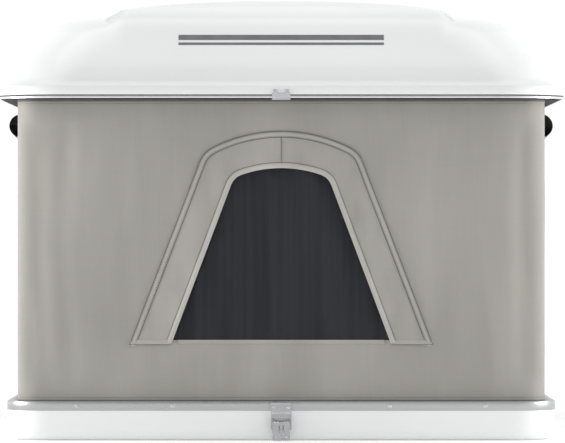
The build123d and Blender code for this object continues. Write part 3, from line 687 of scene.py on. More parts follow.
def fill_region(outer, holes, spacing):
    """(points, triangles) over the inside of an outline less its holes."""
    loops = [even_outline(loop, spacing) for loop in (outer, *holes)]
    low, high = loops[0].min(0), loops[0].max(0)
    u, v = np.meshgrid(np.arange(low[0], high[0], spacing), np.arange(low[1], high[1], spacing))
    grid = np.column_stack((u.ravel(), v.ravel())) + spacing / 2
    keep = inside(grid, loops[0])
    for loop in loops[1:]:
        keep &= ~inside(grid, loop)
    grid = grid[keep]
    for loop in loops:
        grid = grid[distance_to(grid, loop) > spacing * 0.45]
    edges, start = [], 0
    for loop in loops:
        edges += [(start + i, start + (i + 1) % len(loop)) for i in range(len(loop))]
        start += len(loop)
    points = [Vector(p) for p in np.concatenate((*loops, grid))]
    made = delaunay_2d_cdt(points, edges, [], 0, 1e-7)
    points, triangles = np.array([tuple(p) for p in made[0]]), np.array(made[2])
    middle = points[triangles].mean(1)
    keep = inside(middle, loops[0])
    for loop in loops[1:]:
        keep &= ~inside(middle, loop)
    return points, triangles[keep]


def arch_outline(foot_half, foot, high_half, high, top, radius):
    """Sloping sides and a gently arched top with rounded corners, anticlockwise."""
    rise = top - high
    arch_r = (high_half**2 + rise**2) / (2 * rise)
    arch_centre = np.array((0.0, top - arch_r))
    side = np.array((high_half - foot_half, high - foot))
    side /= np.hypot(*side)
    inward = np.array((-side[1], side[0]))
    start = np.array((foot_half, foot)) + inward * radius - arch_centre
    along = start @ side
    travel = -along + math.sqrt(along**2 - start @ start + (arch_r - radius) ** 2)
    centre = start + travel * side + arch_centre
    away = centre - arch_centre
    first = math.atan2(-inward[1], -inward[0])
    last = math.atan2(away[1], away[0])
    corner = [centre + radius * np.array((math.cos(t), math.sin(t))) for t in np.linspace(first, last, 14)]
    arch = [arch_centre + arch_r * np.array((math.cos(t), math.sin(t)))
            for t in np.linspace(last, math.pi - last, 30)[1:-1]]
    left = [np.array((-x, z)) for x, z in reversed(corner)]
    foot_right, foot_left = np.array((foot_half, foot)), np.array((-foot_half, foot))
    return np.array([foot_right, *corner, *arch, *left, foot_left])


def band_inner_outline():
    foot_half, foot, high_half, high, top, radius = WINDOW_MESH
    slope = (foot_half - high_half) / (high - foot)
    return arch_outline(foot_half + slope * BAND_OVERHANG, foot - BAND_OVERHANG,
                        high_half, high, top, radius)


def corner_path(u):
    """Plan place and outward direction along an end wall, whose ends turn the tent's corners."""
    straight = CLOTH_HALF_W - CLOTH_CORNER
    turn = np.maximum(np.abs(u) - straight, 0) / CLOTH_CORNER
    side = np.sign(u)
    x = np.where(turn > 0, side * (straight + CLOTH_CORNER * np.sin(turn)), u)
    y = -(CLOTH_HALF_L - CLOTH_CORNER + CLOTH_CORNER * np.cos(turn))
    return x, y, side * np.sin(turn), -np.cos(turn)


def slack(u, z, seed, half):
    """How far the cloth stands out of its flat shape: soft upright waves, none at its held edges."""
    held = smooth_step(z, 0.090, 0.21) * (1 - smooth_step(z, 0.655, 0.770))
    held *= 1 - smooth_step(np.abs(u), half - 0.07, half)
    wave = 1.15 * np.sin(u * 27 + 1.1 * np.sin(z * 4.2 + seed) + seed)
    wave += 0.75 * np.sin(u * 61 + 0.9 * np.sin(z * 7.0 + 2 * seed) + 2.6 * seed)
    wave += 0.50 * np.sin(u * 96 + 1.3 * np.sin(z * 6.1 - 1.7 * seed) + 0.8 * seed)
    wave += 0.35 * np.sin(u * 133 + 1.6 * np.sin(z * 5.5 - seed))
    lumps = np.array([noise.noise(Vector((a * 6.5, b * 3.2, seed * 3.7))) for a, b in zip(u, z)])
    fine = np.array([noise.noise(Vector((a * 34, b * 9.0, seed * 1.9))) for a, b in zip(u, z)])
    return np.clip(0.0014 * wave + 0.0042 * lumps + 0.0009 * fine, -0.0039, 0.0075) * held


def draw_in(u, z):
    """How far an end wall draws in beside the tent's corners, where it starts its turn early."""
    held = smooth_step(z, 0.10, 0.17) * (1 - smooth_step(z, 0.70, 0.765))
    near = np.clip((np.abs(u) - 0.435) / 0.118, 0, 1) ** 2
    return 0.0130 * near * (1 - smooth_step(np.abs(u), 0.562, END_HALF)) * held


def on_end_wall(points, out, seed):
    """Lays flat (u, z) points on an end wall, out metres proud of the cloth's own place."""
    u, z = points[:, 0], points[:, 1]
    x, y, nx, ny = corner_path(u)
    away = slack(u, z, seed, END_HALF) - draw_in(u, z) + out
    return np.column_stack((x + nx * away, y + ny * away, z))


def on_side_wall(points, out, seed):
    """Lays flat (y, z) points on the right side wall."""
    y, z = points[:, 0], points[:, 1]
    return np.column_stack((CLOTH_HALF_W + slack(y, z, seed, SIDE_HALF) + out, y, z))


def soft_fold(piece):
    """Attaches a cloth piece to the base, with its own copy of its mesh."""
    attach(piece, "base")
    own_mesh(piece)
    return piece


def tapes(paths, width, height, place, lift):
    """Flat sewn bands along (u, z) paths: (vertices, faces) of shallow domed strips."""
    parts = []
    across = np.linspace(-0.5, 0.5, 5)
    for path in paths:
        direction = np.gradient(path, axis=0)
        direction /= np.linalg.norm(direction, axis=1)[:, None]
        side = np.column_stack((-direction[:, 1], direction[:, 0]))
        rows = []
        for share in across:
            out = lift + height * (1 - (2 * abs(share)) ** 3)
            rows.append(place(path + side * share * width, out))
        count = len(path)
        faces = [(r * count + i, r * count + i + 1, (r + 1) * count + i + 1, (r + 1) * count + i)
                 for r in range(len(across) - 1) for i in range(count - 1)]
        parts.append((np.concatenate(rows), faces))
    return parts


def stitches(paths, place, out, length=0.0042, pitch=0.0062, thick=0.00075):
    """Rows of small rounded stitches along (u, z) paths."""
    parts = []
    ring = [(math.cos(t), math.sin(t)) for t in np.linspace(0, math.pi, 4)]
    for path in paths:
        run = np.concatenate(([0], np.cumsum(np.linalg.norm(np.diff(path, axis=0), axis=1))))
        starts = np.arange(pitch, run[-1] - pitch, pitch)
        stops = np.column_stack([starts, starts + length * 0.5, starts + length])
        spots = np.stack([np.interp(stops, run, column) for column in path.T], -1)
        along = spots[:, 2] - spots[:, 0]
        along /= np.linalg.norm(along, axis=1)[:, None]
        side = np.column_stack((-along[:, 1], along[:, 0]))
        for k, swell in enumerate((0.55, 1.0, 0.55)):
            for across, up in ring:
                offset = spots[:, k] + side * across * thick * swell / 2
                parts.append(place(offset, out + up * thick * swell))
    count = len(ring)
    vertices, faces, first = [], [], 0
    per_path = 3 * count
    for start in range(0, len(parts), per_path):
        rows = parts[start:start + per_path]
        total = len(rows[0])
        vertices.append(np.concatenate(rows))
        for k in range(2):
            for r in range(count - 1):
                a, b = (k * count + r) * total, ((k + 1) * count + r) * total
                faces += [(first + a + i, first + a + total + i, first + b + total + i, first + b + i)
                          for i in range(total)]
        first += total * per_path
    return np.concatenate(vertices), faces


def inset_path(outline, distance, spacing=0.006):
    """The open outline, foot to foot, moved inwards."""
    path = even_outline(outline, spacing, closed=False)
    direction = np.gradient(path, axis=0)
    direction /= np.linalg.norm(direction, axis=1)[:, None]
    return path + np.column_stack((-direction[:, 1], direction[:, 0])) * distance


def end_wall(end, flip, seed):
    """One end: the wall and its window hole, the mesh, the puffed band round it and the sewing."""
    half, low, high = END_HALF, CLOTH_LOW.z, CLOTH_HIGH.z
    outer = np.array(((-half, low), (half, low), (half, high), (-half, high)))
    hole = arch_outline(*WINDOW_MESH)

    def placed(points, out):
        return turned(on_end_wall(points, out, seed), flip)

    points, triangles = fill_region(outer, [hole], 0.011)
    wall = make_object(f"canvas_wall_{end}", placed(points, 0.0), triangles, CANVAS)
    thicken(clean_outward(wall), CLOTH_T)
    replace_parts(wall, f"wall_{end}")
    soft_fold(wall)

    # the netting hangs a little slack, in upright folds
    points, triangles = fill_region(hole, [], 0.006)
    u, z = points.T
    edge = smooth_step(distance_to(points, hole), 0.0, 0.030)
    folds = 0.0034 * np.exp(-((u + 0.006 + 0.02 * (z - 0.4)) / 0.010) ** 2)
    folds += 0.0040 * np.exp(-((u - 0.098 + 0.05 * (z - 0.4)) / 0.014) ** 2)
    folds += 0.0016 * np.sin(u * 46 + 3 * z)
    rest = slack(u, z, seed, half)
    hang = np.maximum(rest - 0.0020 + folds * edge, -0.0044) - rest
    mesh = make_object(f"window_mesh_{end}", placed(points, hang), triangles, MESH)
    clean_outward(mesh)
    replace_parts(mesh, "window_meshes")
    soft_fold(mesh)

    # the band is sewn down outside, and its inner edge stands off the netting
    outside, inner = arch_outline(*WINDOW_BAND), band_inner_outline()
    foot, inner_foot = WINDOW_BAND[1], inner[0][1]
    legs = np.concatenate((outside, np.array([(inner[-1][0], foot)]),
                           inner[::-1][1:-1], np.array([(inner[0][0], foot)])))
    legs[-1][0], legs[len(outside)][0] = inner[0][0], inner[-1][0]
    points, triangles = fill_region(legs, [], 0.007)

    def on_band(path, out):
        """Flush at the outer edge, standing off the netting and rippled towards the inner one."""
        to_outer, to_inner = distance_to(path, outside, False), distance_to(path, inner, False)
        share = to_outer / np.maximum(to_outer + to_inner, 1e-6)
        along, height = path[:, 0], path[:, 1]
        puff = 0.0016 + 0.0085 * share**1.3 * smooth_step(height, foot - 0.002, foot + 0.10)
        ripple = 0.0016 * np.sin((along * 0.8 + height) * 52 + 1.3 * seed)
        ripple += 0.0012 * np.sin((along - 0.5 * height) * 96)
        return placed(path, puff + ripple * share * smooth_step(height, foot, foot + 0.06) + out)

    band = make_object(f"window_band_{end}", on_band(points, 0.0), triangles, BAND)
    thicken(clean_outward(band), 0.0014)
    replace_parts(band, "window_surrounds")
    soft_fold(band)

    outer_path = inset_path(outside, 0.0065)
    inner_path = inset_path(inner, -0.0058)
    inner_path = inner_path[inner_path[:, 1] > inner_foot + BAND_OVERHANG * 0.5]
    middle = np.linspace(WINDOW_BAND[4] - 0.014, WINDOW_MESH[4] + 0.013, 14)
    seam = np.column_stack((np.zeros(14), middle))
    feet, foot_lines = [], []
    reach = np.linspace(inner[0][0] - 0.0008, WINDOW_BAND[0] - 0.0008, 24)
    for side in (-1, 1):
        feet.append(np.column_stack((side * reach, np.full(24, foot + 0.0052))))
        foot_lines.append(np.column_stack((side * reach, np.full(24, foot + 0.0006))))
    outer_edge, outer_row = inset_path(outside, 0.0004), inset_path(outside, 0.0138)
    inner_row = inset_path(inner, -0.0128)
    inner_row = inner_row[inner_row[:, 1] > foot + 0.009]
    hems = [merged(f"window_hems_{end}", tapes([outer_path, *feet], 0.0125, 0.0012, on_band, 0.0003), HEM),
            merged(f"window_inner_hem_{end}", tapes([inner_path], 0.0115, 0.0016, on_band, 0.0004), BOUND)]
    # Dark narrow tapes: painted shade along the band's outer edge, its grooves, its feet and its top seam.
    lines = tapes([outer_edge, outer_row[outer_row[:, 1] > foot + 0.009], *foot_lines, seam],
                  0.0014, 0.0005, on_band, 0.0012)
    lines += tapes([inner_row], 0.0009, 0.0004, on_band, 0.0008)
    hems.append(merged(f"window_seam_shade_{end}", lines, SEAM_SHADE))
    sewing = [inset_path(outside, 0.0112), inset_path(outside, 0.0026), seam + (0.0040, 0)]
    vertices, faces = stitches(sewing, on_band, 0.0012)
    hems.append(make_object(f"window_stitches_{end}", vertices, faces, STITCH))
    sill = np.linspace(-WINDOW_MESH[0] + 0.012, WINDOW_MESH[0] - 0.012, 60)
    sill = np.column_stack((sill, np.full(60, WINDOW_MESH[1] - 0.004)))
    hems.append(merged(f"window_sill_tape_{end}", tapes([sill], 0.0090, 0.0006, placed, 0.0003), BAND))
    for piece in hems:
        soft_fold(piece)

    # rows of sewing along the wall's held edges
    edge_rows = []
    for height in (low + 0.022, high - 0.036, high - 0.030):
        edge_rows.append(np.column_stack((np.linspace(-half, half, 260), np.full(260, height))))
    vertices, faces = stitches(edge_rows, placed, 0.0002)
    piece = make_object(f"wall_stitches_{end}", vertices, faces, STITCH)
    soft_fold(piece)
    edge_shadow_tapes(end, half, placed)


def edge_shadow_tapes(name, half, placed):
    """Dark tapes along the wall's head and foot: painted shadow under the lid's edge and above the rim."""
    paths = []
    for height in (TRIM_LOW.z - 0.0004, RIM_HIGH.z + 0.0002):
        paths.append(np.column_stack((np.linspace(-half, half, 260), np.full(260, height))))
    head = tapes(paths[:1], 0.0080, 0.0004, placed, 0.0002)
    foot = tapes(paths[1:], 0.0050, 0.0004, placed, 0.0002)
    soft_fold(merged(f"painted_edge_shadow_{name}", head + foot, EDGE_SHADOW_TAPE))


def clean_outward(obj):
    """Faces that look away from the tent's middle."""
    clean_normals(obj)
    polygons = obj.data.polygons
    if sum(p.normal.x * p.center.x + p.normal.y * p.center.y for p in polygons) < 0:
        obj.data.flip_normals()
    return obj


def door_outline(grow=0.0, steps=8):
    """The door's rounded opening, anticlockwise."""
    middle, half_h = (DOOR_LOW + DOOR_HIGH) / 2, (DOOR_HIGH - DOOR_LOW) / 2 + grow
    half_l, radius = DOOR_HALF_L + grow, DOOR_CORNER + grow
    points = []
    for sy, sz, angle in ((1, -1, 270), (1, 1, 0), (-1, 1, 90), (-1, -1, 180)):
        for turn in np.radians(angle + np.linspace(0, 90, steps + 1)):
            points.append((sy * (half_l - radius) + radius * math.cos(turn),
                           middle + sz * (half_h - radius) + radius * math.sin(turn)))
    return np.array(points)


def zip_path(grow):
    """The line of the zip: down one side, along the bottom and up the other."""
    outline = even_outline(door_outline(grow), 0.005)
    first = int(np.argmax((outline[:, 0] > 0) * 1.0 - np.abs(outline[:, 1] - ZIP_TOP)))
    rolled = np.roll(outline, -first, axis=0)[::-1]
    below = rolled[rolled[:, 1] <= ZIP_TOP]
    order = np.argsort(np.unwrap(np.arctan2(below[:, 1] - 0.6, below[:, 0])))
    return below[order]


def zip_teeth(path, place):
    """Small moulded blocks in two staggered rows."""
    run = np.concatenate(([0], np.cumsum(np.linalg.norm(np.diff(path, axis=0), axis=1))))
    stops = np.arange(0.004, run[-1] - 0.004, 0.0036)
    spots = np.column_stack([np.interp(stops, run, column) for column in path.T])
    ahead = np.column_stack([np.interp(stops + 0.001, run, column) for column in path.T]) - spots
    ahead /= np.linalg.norm(ahead, axis=1)[:, None]
    side = np.column_stack((-ahead[:, 1], ahead[:, 0]))
    shift = np.where(np.arange(len(stops)) % 2, 0.0009, -0.0009)[:, None]
    rows = []
    for out in (0.0011, 0.0032):
        for along, across in ((-1, -1), (1, -1), (1, 1), (-1, 1)):
            slim = 0.75 if out > 0.002 else 1.0
            offset = ahead * along * 0.0011 * slim + side * (across * 0.0028 * slim + shift)
            rows.append(place(spots + offset, out))
    count = len(spots)
    quads = ((4, 5, 6, 7), (0, 1, 5, 4), (1, 2, 6, 5), (2, 3, 7, 6), (3, 0, 4, 7))
    faces = [tuple(k * count + i for k in quad) for i in range(count) for quad in quads]
    return np.concatenate(rows), faces


def side_wall(side, flip, seed):
    """One side: the wall with its door hole, the zip, the rolled door and its ties."""
    half, low, high = SIDE_HALF, CLOTH_LOW.z, CLOTH_HIGH.z
    outer = np.array(((-half, low), (half, low), (half, high), (-half, high)))
    hole = door_outline()

    def placed(points, out):
        return turned(on_side_wall(points, out, seed), flip)

    points, triangles = fill_region(outer, [hole], 0.014)
    wall = make_object(f"canvas_wall_{side}", placed(points, 0.0), triangles, CANVAS)
    thicken(clean_outward(wall), CLOTH_T)
    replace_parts(wall, f"wall_{side}")
    soft_fold(wall)

    edge_shadow_tapes(side, half, placed)
    path = zip_path(ZIP_WIDTH * 0.5)
    tape = merged(f"zip_tape_{side}", tapes([path], ZIP_WIDTH, 0.0006, placed, 0.0004), ZIP_TAPE)
    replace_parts(tape, "door_zips")
    soft_fold(tape)
    vertices, faces = zip_teeth(path, placed)
    teeth = make_object(f"zip_teeth_{side}", vertices, faces, ZIP_TEETH, smooth=False)
    vertices, faces = stitches([zip_path(ZIP_WIDTH * 0.92), zip_path(ZIP_WIDTH * 0.10)], placed, 0.0008)
    sewing = make_object(f"zip_stitches_{side}", vertices, faces, STITCH_LIGHT)
    pulls = merged(f"zip_pulls_{side}", [zip_pull(place, placed) for place in (path[4], path[-5])], ZINC)
    for piece in (teeth, sewing, pulls):
        soft_fold(piece)

    rolled_door(side, flip, seed)
    door_ties(side, flip)


def zip_pull(spot, placed):
    """A slider and its hanging tab."""
    vertices, faces = [], []
    blocks = ((0.0050, 0.0070, 0.0000, 0.0030, 0.0058), (0.0026, 0.0150, -0.0210, 0.0052, 0.0066))
    for half_w, half_h, drop, inner, outer in blocks:
        start = len(vertices)
        corners = np.array(((-half_w, -half_h), (half_w, -half_h), (half_w, half_h), (-half_w, half_h)))
        for out, slim in ((inner, 1.0), (outer, 0.8)):
            vertices += list(placed(spot + (0, drop) + corners * slim, out))
        for quad in ((4, 5, 6, 7), (3, 2, 1, 0), (0, 1, 5, 4), (1, 2, 6, 5), (2, 3, 7, 6), (3, 0, 4, 7)):
            faces.append(tuple(start + k for k in quad))
    return vertices, faces


def rolled_door(side, flip, seed):
    """The door panel rolled up on itself, pinched by its ties, with its free end sewn above."""
    centre_x, centre_z = (ROLL_LOW.x + ROLL_HIGH.x) / 2, (ROLL_LOW.z + ROLL_HIGH.z) / 2
    half_l, radius = (ROLL_HIGH.y - ROLL_LOW.y) / 2, (ROLL_HIGH.z - ROLL_LOW.z) / 2
    core, turns = 0.008, 6.0
    along = np.linspace(-half_l, half_l, 110)
    angles = np.linspace(0, turns * math.tau, int(turns * 30))
    pinch = np.zeros_like(along)
    for place in TIE_PLACES:
        pinch += np.exp(-((along - place) / 0.045) ** 2)
    rows = []
    for k, angle in enumerate(angles):
        share = k / (len(angles) - 1)
        reach = core + (radius - 0.0012 - core) * share
        loose = 1 + 0.025 * np.sin(along * 23 + angle * 0.7 + seed) * share
        size = reach * loose * (1 - 0.055 * pinch * share) * 0.975
        turn = math.pi / 2 + angle
        ends = 0.010 * math.sin(angle * 1.7 + seed) * share
        y = along * (1 - ends)
        rows.append(np.column_stack((centre_x + size * math.cos(turn), y, centre_z + size * math.sin(turn))))
    tail_top = DOOR_HIGH + 0.004
    last = rows[-1].copy()
    for share in np.linspace(0, 1, 7)[1:]:
        x = last[:, 0] + (CLOTH_HALF_W + 0.0012 - last[:, 0]) * smooth_step(share, 0, 1)
        rows.append(np.column_stack((x, last[:, 1], last[:, 2] + (tail_top - last[:, 2]) * share)))
    count = len(along)
    faces = [(r * count + i, r * count + i + 1, (r + 1) * count + i + 1, (r + 1) * count + i)
             for r in range(len(rows) - 1) for i in range(count - 1)]
    door = make_object(f"rolled_door_{side}", turned(np.concatenate(rows), flip), faces, CANVAS)
    clean_normals(door)
    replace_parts(door, f"door_roll_{side}")
    soft_fold(door)


def door_ties(side, flip):
    """Webbing straps round the roll, each with a toggle."""
    centre_x, centre_z = (ROLL_LOW.x + ROLL_HIGH.x) / 2, (ROLL_LOW.z + ROLL_HIGH.z) / 2
    radius = (ROLL_HIGH.z - ROLL_LOW.z) / 2 + 0.0012
    parts, knobs, length = [], [], 0.0
    for place in TIE_PLACES:
        line = [(CLOTH_HALF_W + 0.0016, DOOR_HIGH + 0.014), (CLOTH_HALF_W + 0.0030, DOOR_HIGH + 0.002)]
        for turn in np.radians(np.linspace(88, -236, 40)):
            line.append((centre_x + radius * math.cos(turn), centre_z + radius * math.sin(turn)))
        line = np.array(line)
        length += float(np.linalg.norm(np.diff(line, axis=0), axis=1).sum())
        rows = [np.column_stack((line[:, 0], np.full(len(line), place + y), line[:, 1]))
                for y in np.linspace(-0.012, 0.012, 5)]
        count = len(line)
        faces = [(r * count + i, r * count + i + 1, (r + 1) * count + i + 1, (r + 1) * count + i)
                 for r in range(4) for i in range(count - 1)]
        parts.append((turned(np.concatenate(rows), flip), faces))
        knobs.append(toggle(place, centre_x + radius * 0.9, centre_z + radius * 0.45, flip))
    straps = merged(f"door_ties_{side}", parts, WEBBING)
    thicken(clean_normals(straps), 0.0010, 0.0)
    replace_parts(straps, "door_ties")
    soft_fold(straps)
    toggles = merged(f"tie_toggles_{side}", knobs, NYLON)
    soft_fold(clean_normals(toggles))


def tube_faces(rows, sides):
    """Quads between rows of as many points each, closed round."""
    faces = []
    for start in range(0, (rows - 1) * sides, sides):
        for i in range(sides):
            j = (i + 1) % sides
            faces.append((start + i, start + j, start + sides + j, start + sides + i))
    return faces


def toggle(y, x, z, flip):
    """A short turned peg, waisted in the middle, lying across its strap."""
    outline = ((-0.017, 0.0), (-0.017, 0.0026), (-0.0155, 0.0036), (-0.005, 0.0030), (0.0, 0.0024),
               (0.005, 0.0030), (0.0155, 0.0036), (0.017, 0.0026), (0.017, 0.0))
    sides = 12
    vertices = []
    for along, size in outline:
        for turn in np.linspace(0, math.tau, sides, endpoint=False):
            reach = max(size, 0.0002)
            vertices.append((x + reach * math.cos(turn), y + along, z + reach * math.sin(turn)))
    return turned(vertices, flip), tube_faces(len(outline), sides)


# ---- padded pieces --------------------------------------------------------------------------------
MATTRESS_LOW, MATTRESS_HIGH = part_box("mattress")
LINER_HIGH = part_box("floor_liner")[1]
LINING_LOW, LINING_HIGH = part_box("headliner")


def fill_cloth(obj, pinned, pressure, frames, cap):
    """Swells a closed mesh as a stuffed cover, held at the pinned vertices, and keeps the result."""
    rest = np.array([v.co for v in obj.data.vertices])
    group = obj.vertex_groups.new(name="held")
    group.add([int(i) for i in np.flatnonzero(pinned)], 1.0, "REPLACE")
    cloth = obj.modifiers.new("cloth", "CLOTH")
    settings = cloth.settings
    settings.quality = 4
    settings.mass = 0.3
    settings.vertex_group_mass = "held"
    settings.use_pressure = True
    settings.uniform_pressure_force = pressure
    settings.tension_stiffness = settings.compression_stiffness = 12
    settings.shear_stiffness = 6
    settings.bending_stiffness = 0.6
    settings.effector_weights.gravity = 0
    scene = bpy.context.scene
    scene.frame_start, scene.frame_end = 1, frames
    for step in range(1, frames + 1):
        scene.frame_set(step)
    evaluated = obj.evaluated_get(bpy.context.evaluated_depsgraph_get())
    moved = np.array([v.co for v in evaluated.data.vertices])
    obj.modifiers.clear()
    scene.frame_set(1)
    shift = moved - rest
    size = np.linalg.norm(shift, axis=1, keepdims=True)
    shift *= np.minimum(1, cap / np.maximum(size, 1e-9))
    obj.data.vertices.foreach_set("co", (rest + shift).ravel())
    obj.data.update()


def mattress():
    """Foam mattress in a quilted cover: held down where the quilting crosses, piped at its edges."""
    inset, bulge = 0.010, 0.010
    low, high = MATTRESS_LOW, MATTRESS_HIGH
    half_w, half_l = high.x - inset, high.y - inset
    levels = [(0.014, low.z + 0.001), (0.004, low.z + 0.004), (0.0, low.z + 0.016), (0.0, high.z - 0.026),
              (0.004, high.z - 0.014), (0.014, high.z - 0.009)]
    rings = []
    for step_in, z in levels:
        plan = rounded_rectangle(half_w - step_in, half_l - step_in, 0.05 - step_in, 56, 92, 5)
        rings.append(np.column_stack((plan, np.full(len(plan), z))))
    cover = loft("mattress_cover", rings, QUILT)
    work = bmesh.new()
    work.from_mesh(cover.data)
    work.verts.ensure_lookup_table()
    count = len(rings[0])
    total = len(rings) * count
    edges = [[work.verts[ring_start + i] for i in range(count)] for ring_start in (total - count, 0)]
    for edge in edges:
        outline = np.array([v.co[:2] for v in edge])
        z = edge[0].co.z
        points, triangles = fill_region(outline, [], 0.021)
        made = [work.verts.new((x, y, z)) for x, y in points]
        for triangle in triangles:
            work.faces.new([made[k] for k in triangle])
    bmesh.ops.remove_doubles(work, verts=work.verts, dist=0.0035)
    bmesh.ops.holes_fill(work, edges=work.edges, sides=8)
    bmesh.ops.recalc_face_normals(work, faces=work.faces)
    work.to_mesh(cover.data)
    work.free()
    place = np.array([v.co for v in cover.data.vertices])
    pitch = 0.150
    across, along = place[:, 0] / pitch, place[:, 1] / pitch
    to_button = np.hypot(across - np.round(across), along - np.round(along)) * pitch
    top, bottom = place[:, 2] > high.z - 0.012, place[:, 2] < low.z + 0.005
    pinned = (top & (to_button < 0.013)) | bottom
    fill_cloth(cover, pinned, 3.0, 16, bulge)
    place = np.array([v.co for v in cover.data.vertices])
    dimple = np.exp(-(to_button / 0.022) ** 2) * 0.006
    diagonal = np.minimum(np.abs(across + along - np.round(across + along)),
                          np.abs(across - along - np.round(across - along)))
    groove = np.exp(-(diagonal * pitch / 0.006) ** 2) * 0.0025
    place[:, 2] -= np.where(top, dimple + groove, 0)
    place[:, 2] = np.clip(place[:, 2], low.z + 0.0005, high.z)
    cover.data.vertices.foreach_set("co", place.ravel())
    modifier = cover.modifiers.new("smooth", "SUBSURF")
    modifier.levels = 1
    apply_modifiers(cover)
    cover.data.polygons.foreach_set("use_smooth", [True] * len(cover.data.polygons))
    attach(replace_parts(cover, "mattress"), "base")
    for height, name in ((high.z - 0.012, "mattress_top_piping"), (low.z + 0.008, "mattress_low_piping")):
        bead = rounded_profile(-0.0040, 0.0012, height - 0.0026, height + 0.0026, 0.0024)
        piping = frame_sweep(name, half_w, half_l, 0.05, bead, PIPING)
        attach(piping, "base")


def headliner():
    """Padded lining under the lid, sewn in lengthwise channels, with a welt at its edge."""
    low, high = LINING_LOW.z, LINING_HIGH.z
    half_w, half_l = LINING_HIGH.x - 0.003, LINING_HIGH.y - 0.003
    corner = body_corner(high) + 0.004
    outline = rounded_rectangle(half_w, half_l, corner, 70, 120, 10)
    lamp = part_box("lamp_housing")[1].x - 0.004
    turn = np.linspace(0, math.tau, 48, endpoint=False)
    hole = lamp * np.column_stack((np.cos(turn), np.sin(turn)))
    points, triangles = fill_region(outline, [hole], 0.014)
    to_edge = np.minimum(distance_to(points, outline), distance_to(points, hole))
    x, y = points.T
    pitch = 0.105
    channel = np.abs(np.sin(np.pi * x / pitch)) ** 0.45
    wave = 1 + 0.12 * np.sin(y * 19 + 3 * np.sin(x * 7))
    swell = 0.0068 * channel * wave * smooth_step(to_edge, 0.0, 0.035)
    under = np.column_stack((points, high - 0.0016 - np.minimum(swell, high - low - 0.0018)))
    lining = make_object("headliner_cover", under, triangles, LINING)
    clean_normals(lining)
    if sum(p.normal.z for p in lining.data.polygons) > 0:
        lining.data.flip_normals()
    thicken(lining, 0.0015)
    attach(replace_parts(lining, "headliner"), "roof")
    bead = rounded_profile(-0.004, 0.0025, low + 0.0010, low + 0.0062, 0.0024)
    welt = frame_sweep("headliner_welt", half_w, half_l, corner, bead, LINING)
    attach(welt, "roof")


def floor_liner():
    """Felt laid on the tray's floor, a little uneven, its edge pressed down."""
    high = LINER_HIGH
    outline = rounded_rectangle(high.x, high.y, 0.06, 40, 64, 8)
    points, triangles = fill_region(outline, [], 0.030)
    edge = smooth_step(distance_to(points, outline), 0.0, 0.010)
    height = np.array([noise.noise(Vector((a * 9, b * 9, 4.0))) for a, b in points])
    z = high.z - 0.0006 + 0.0005 * height - 0.0010 * (1 - edge)
    liner = make_object("felt_floor", np.column_stack((points, z)), triangles, FELT)
    clean_normals(liner)
    if sum(p.normal.z for p in liner.data.polygons) < 0:
        liner.data.flip_normals()
    thicken(liner, 0.0018)
    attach(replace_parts(liner, "floor_liner"), "base")


# ---- small hardware ---------------------------------------------------------------------------------
def rivet(centre, radius, rise, facing, sides=18):
    """A low domed head on a face that looks along Y: (vertices, faces)."""
    profile = ((1.0, 0.0), (1.0, 0.35), (0.86, 0.74), (0.55, 0.95), (0.0, 1.0))
    vertices = []
    for size, up in profile:
        for turn in np.linspace(0, math.tau, sides, endpoint=False):
            reach = max(size * radius, 1e-5)
            vertices.append((centre[0] + reach * math.cos(turn), centre[1] + facing * up * rise,
                             centre[2] + reach * math.sin(turn)))
    return vertices, tube_faces(len(profile), sides)


def latch_details(end, facing):
    """Rivet heads on the claw and on the lever."""
    claw_low, claw_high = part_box(f"latch_claw_{end}")
    lever_low, lever_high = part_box(f"latch_lever_{end}")
    claw_y = claw_low.y if facing < 0 else claw_high.y
    lever_y = lever_low.y if facing < 0 else lever_high.y
    heads = [rivet((x, claw_y, claw_high.z - 0.011), 0.0032, 0.0014, facing) for x in (-0.0165, 0.0165)]
    claw = clean_normals(merged(f"claw_rivets_{end}", heads, SCREW_HEAD))
    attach(claw, f"latch_claw_{end}")
    heads = [rivet((x, lever_y, lever_high.z - 0.005), 0.0020, 0.0010, facing)
             for x in (-0.014, -0.008, 0.008, 0.014)]
    heads += [rivet((x, lever_y, lever_low.z + 0.008), 0.0024, 0.0010, facing) for x in (-0.012, 0.012)]
    lever = clean_normals(merged(f"lever_rivets_{end}", heads, SCREW_HEAD))
    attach(lever, f"latch_lever_{end}")


def hardware():
    for end, facing in (("front", -1), ("rear", 1)):
        latch_details(end, facing)


# ---- studio -------------------------------------------------------------------------------------------
def area_light(name, power, size, place, target, colour=(1, 1, 1)):
    data = bpy.data.lights.new(name, "AREA")
    data.shape = "RECTANGLE"
    data.size, data.size_y = size
    data.energy = power
    data.color = colour
    made = bpy.data.objects.new(name, data)
    bpy.context.scene.collection.objects.link(made)
    made.location = place
    made.rotation_euler = (Vector(target) - Vector(place)).to_track_quat("-Z", "Y").to_euler()


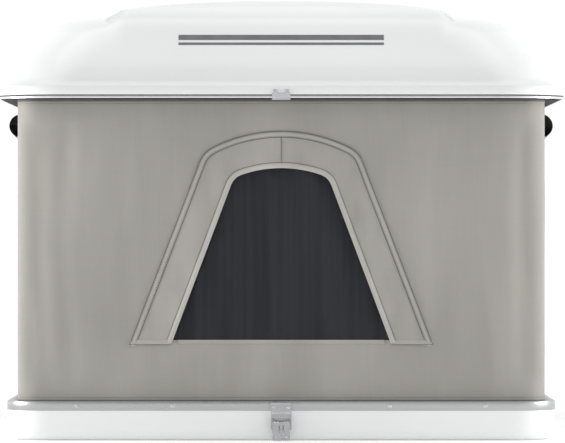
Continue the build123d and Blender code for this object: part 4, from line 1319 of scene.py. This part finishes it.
def surroundings():
    """Pale surroundings: dimmest in front of the tent, brighter behind, overhead and at its sides."""
    world = bpy.data.worlds.new("studio")
    bpy.context.scene.world = world
    world.use_nodes = True
    tree = world.node_tree

    def step(operation, a, b):
        made = tree.nodes.new("ShaderNodeMath")
        made.operation = operation
        for socket, value in zip(made.inputs, (a, b)):
            if isinstance(value, float):
                socket.default_value = value
            else:
                tree.links.new(value, socket)
        return made.outputs[0]

    split = tree.nodes.new("ShaderNodeSeparateXYZ")
    tree.links.new(tree.nodes.new("ShaderNodeTexCoord").outputs["Generated"], split.inputs[0])
    strength = step("MULTIPLY", step("POWER", step("ABSOLUTE", split.outputs["X"], 0.0), 2.0), 0.70)
    for axis, amount in (("Y", 0.58), ("Z", 0.40)):
        beyond = step("POWER", step("MAXIMUM", split.outputs[axis], 0.0), 2.0)
        strength = step("ADD", strength, step("MULTIPLY", beyond, amount))
    strength = step("ADD", strength, 0.47)
    tree.links.new(strength, tree.nodes["Background"].inputs["Strength"])
    tree.nodes["Background"].inputs["Color"].default_value = (1, 1, 1, 1)


CAMERA_AWAY, CAMERA_SIDE, CAMERA_HEIGHT = 12.5, 0.003, 0.4835
CAMERA_LENS, CAMERA_SENSOR, CAMERA_SHIFT = 321.4, 36, 0.0115  # mm, mm, share of the sensor's width


def studio():
    """Plain pale floor, white surroundings, soft lights above and at both sides, and the camera."""
    reach = 14.0
    corners = [(-reach, -reach, 0.0), (reach, -reach, 0.0), (reach, reach, 0.0), (-reach, reach, 0.0)]
    white = Shader("studio_floor", (0.94, 0.94, 0.94), 0.9,
                   Emission_Color=(1, 1, 1, 1), Emission_Strength=0.15)
    white.vary_colour(white.noise(1.5), (0.93, 0.93, 0.93), (0.95, 0.95, 0.95))
    floor = make_object("studio_floor", corners, [(0, 1, 2, 3)], white.material, False)
    surroundings()
    area_light("top_light", 22, (3.2, 3.2), (0, -0.2, 3.6), (0, 0, 0.9))
    area_light("left_light", 68, (1.6, 1.3), (-3.3, -1.3, 0.45), (-0.6, -1.0, 0.5))
    area_light("right_light", 60, (1.6, 1.3), (3.3, -1.3, 0.45), (0.6, -1.0, 0.5))
    bpy.context.scene.view_settings.view_transform = "Standard"

    data = bpy.data.cameras.new("camera")
    data.lens, data.sensor_width = CAMERA_LENS, CAMERA_SENSOR
    data.shift_y = CAMERA_SHIFT
    data.clip_end = 60
    camera = bpy.data.objects.new("camera", data)
    bpy.context.scene.collection.objects.link(camera)
    camera.location = (CAMERA_SIDE, -CAMERA_AWAY, CAMERA_HEIGHT)
    camera.rotation_euler = (math.radians(90), 0, 0)
    bpy.context.scene.camera = camera


# ---- everything ---------------------------------------------------------------------------------------
studio()
finish_cad_nodes()
roof_skin()
lid_edge_trim()
lid_decal()
base_rim()
end_wall("front", False, 1.0)
end_wall("rear", True, 4.3)
side_wall("right", False, 2.2)
side_wall("left", True, 5.6)
mattress()
headliner()
floor_liner()
hardware()
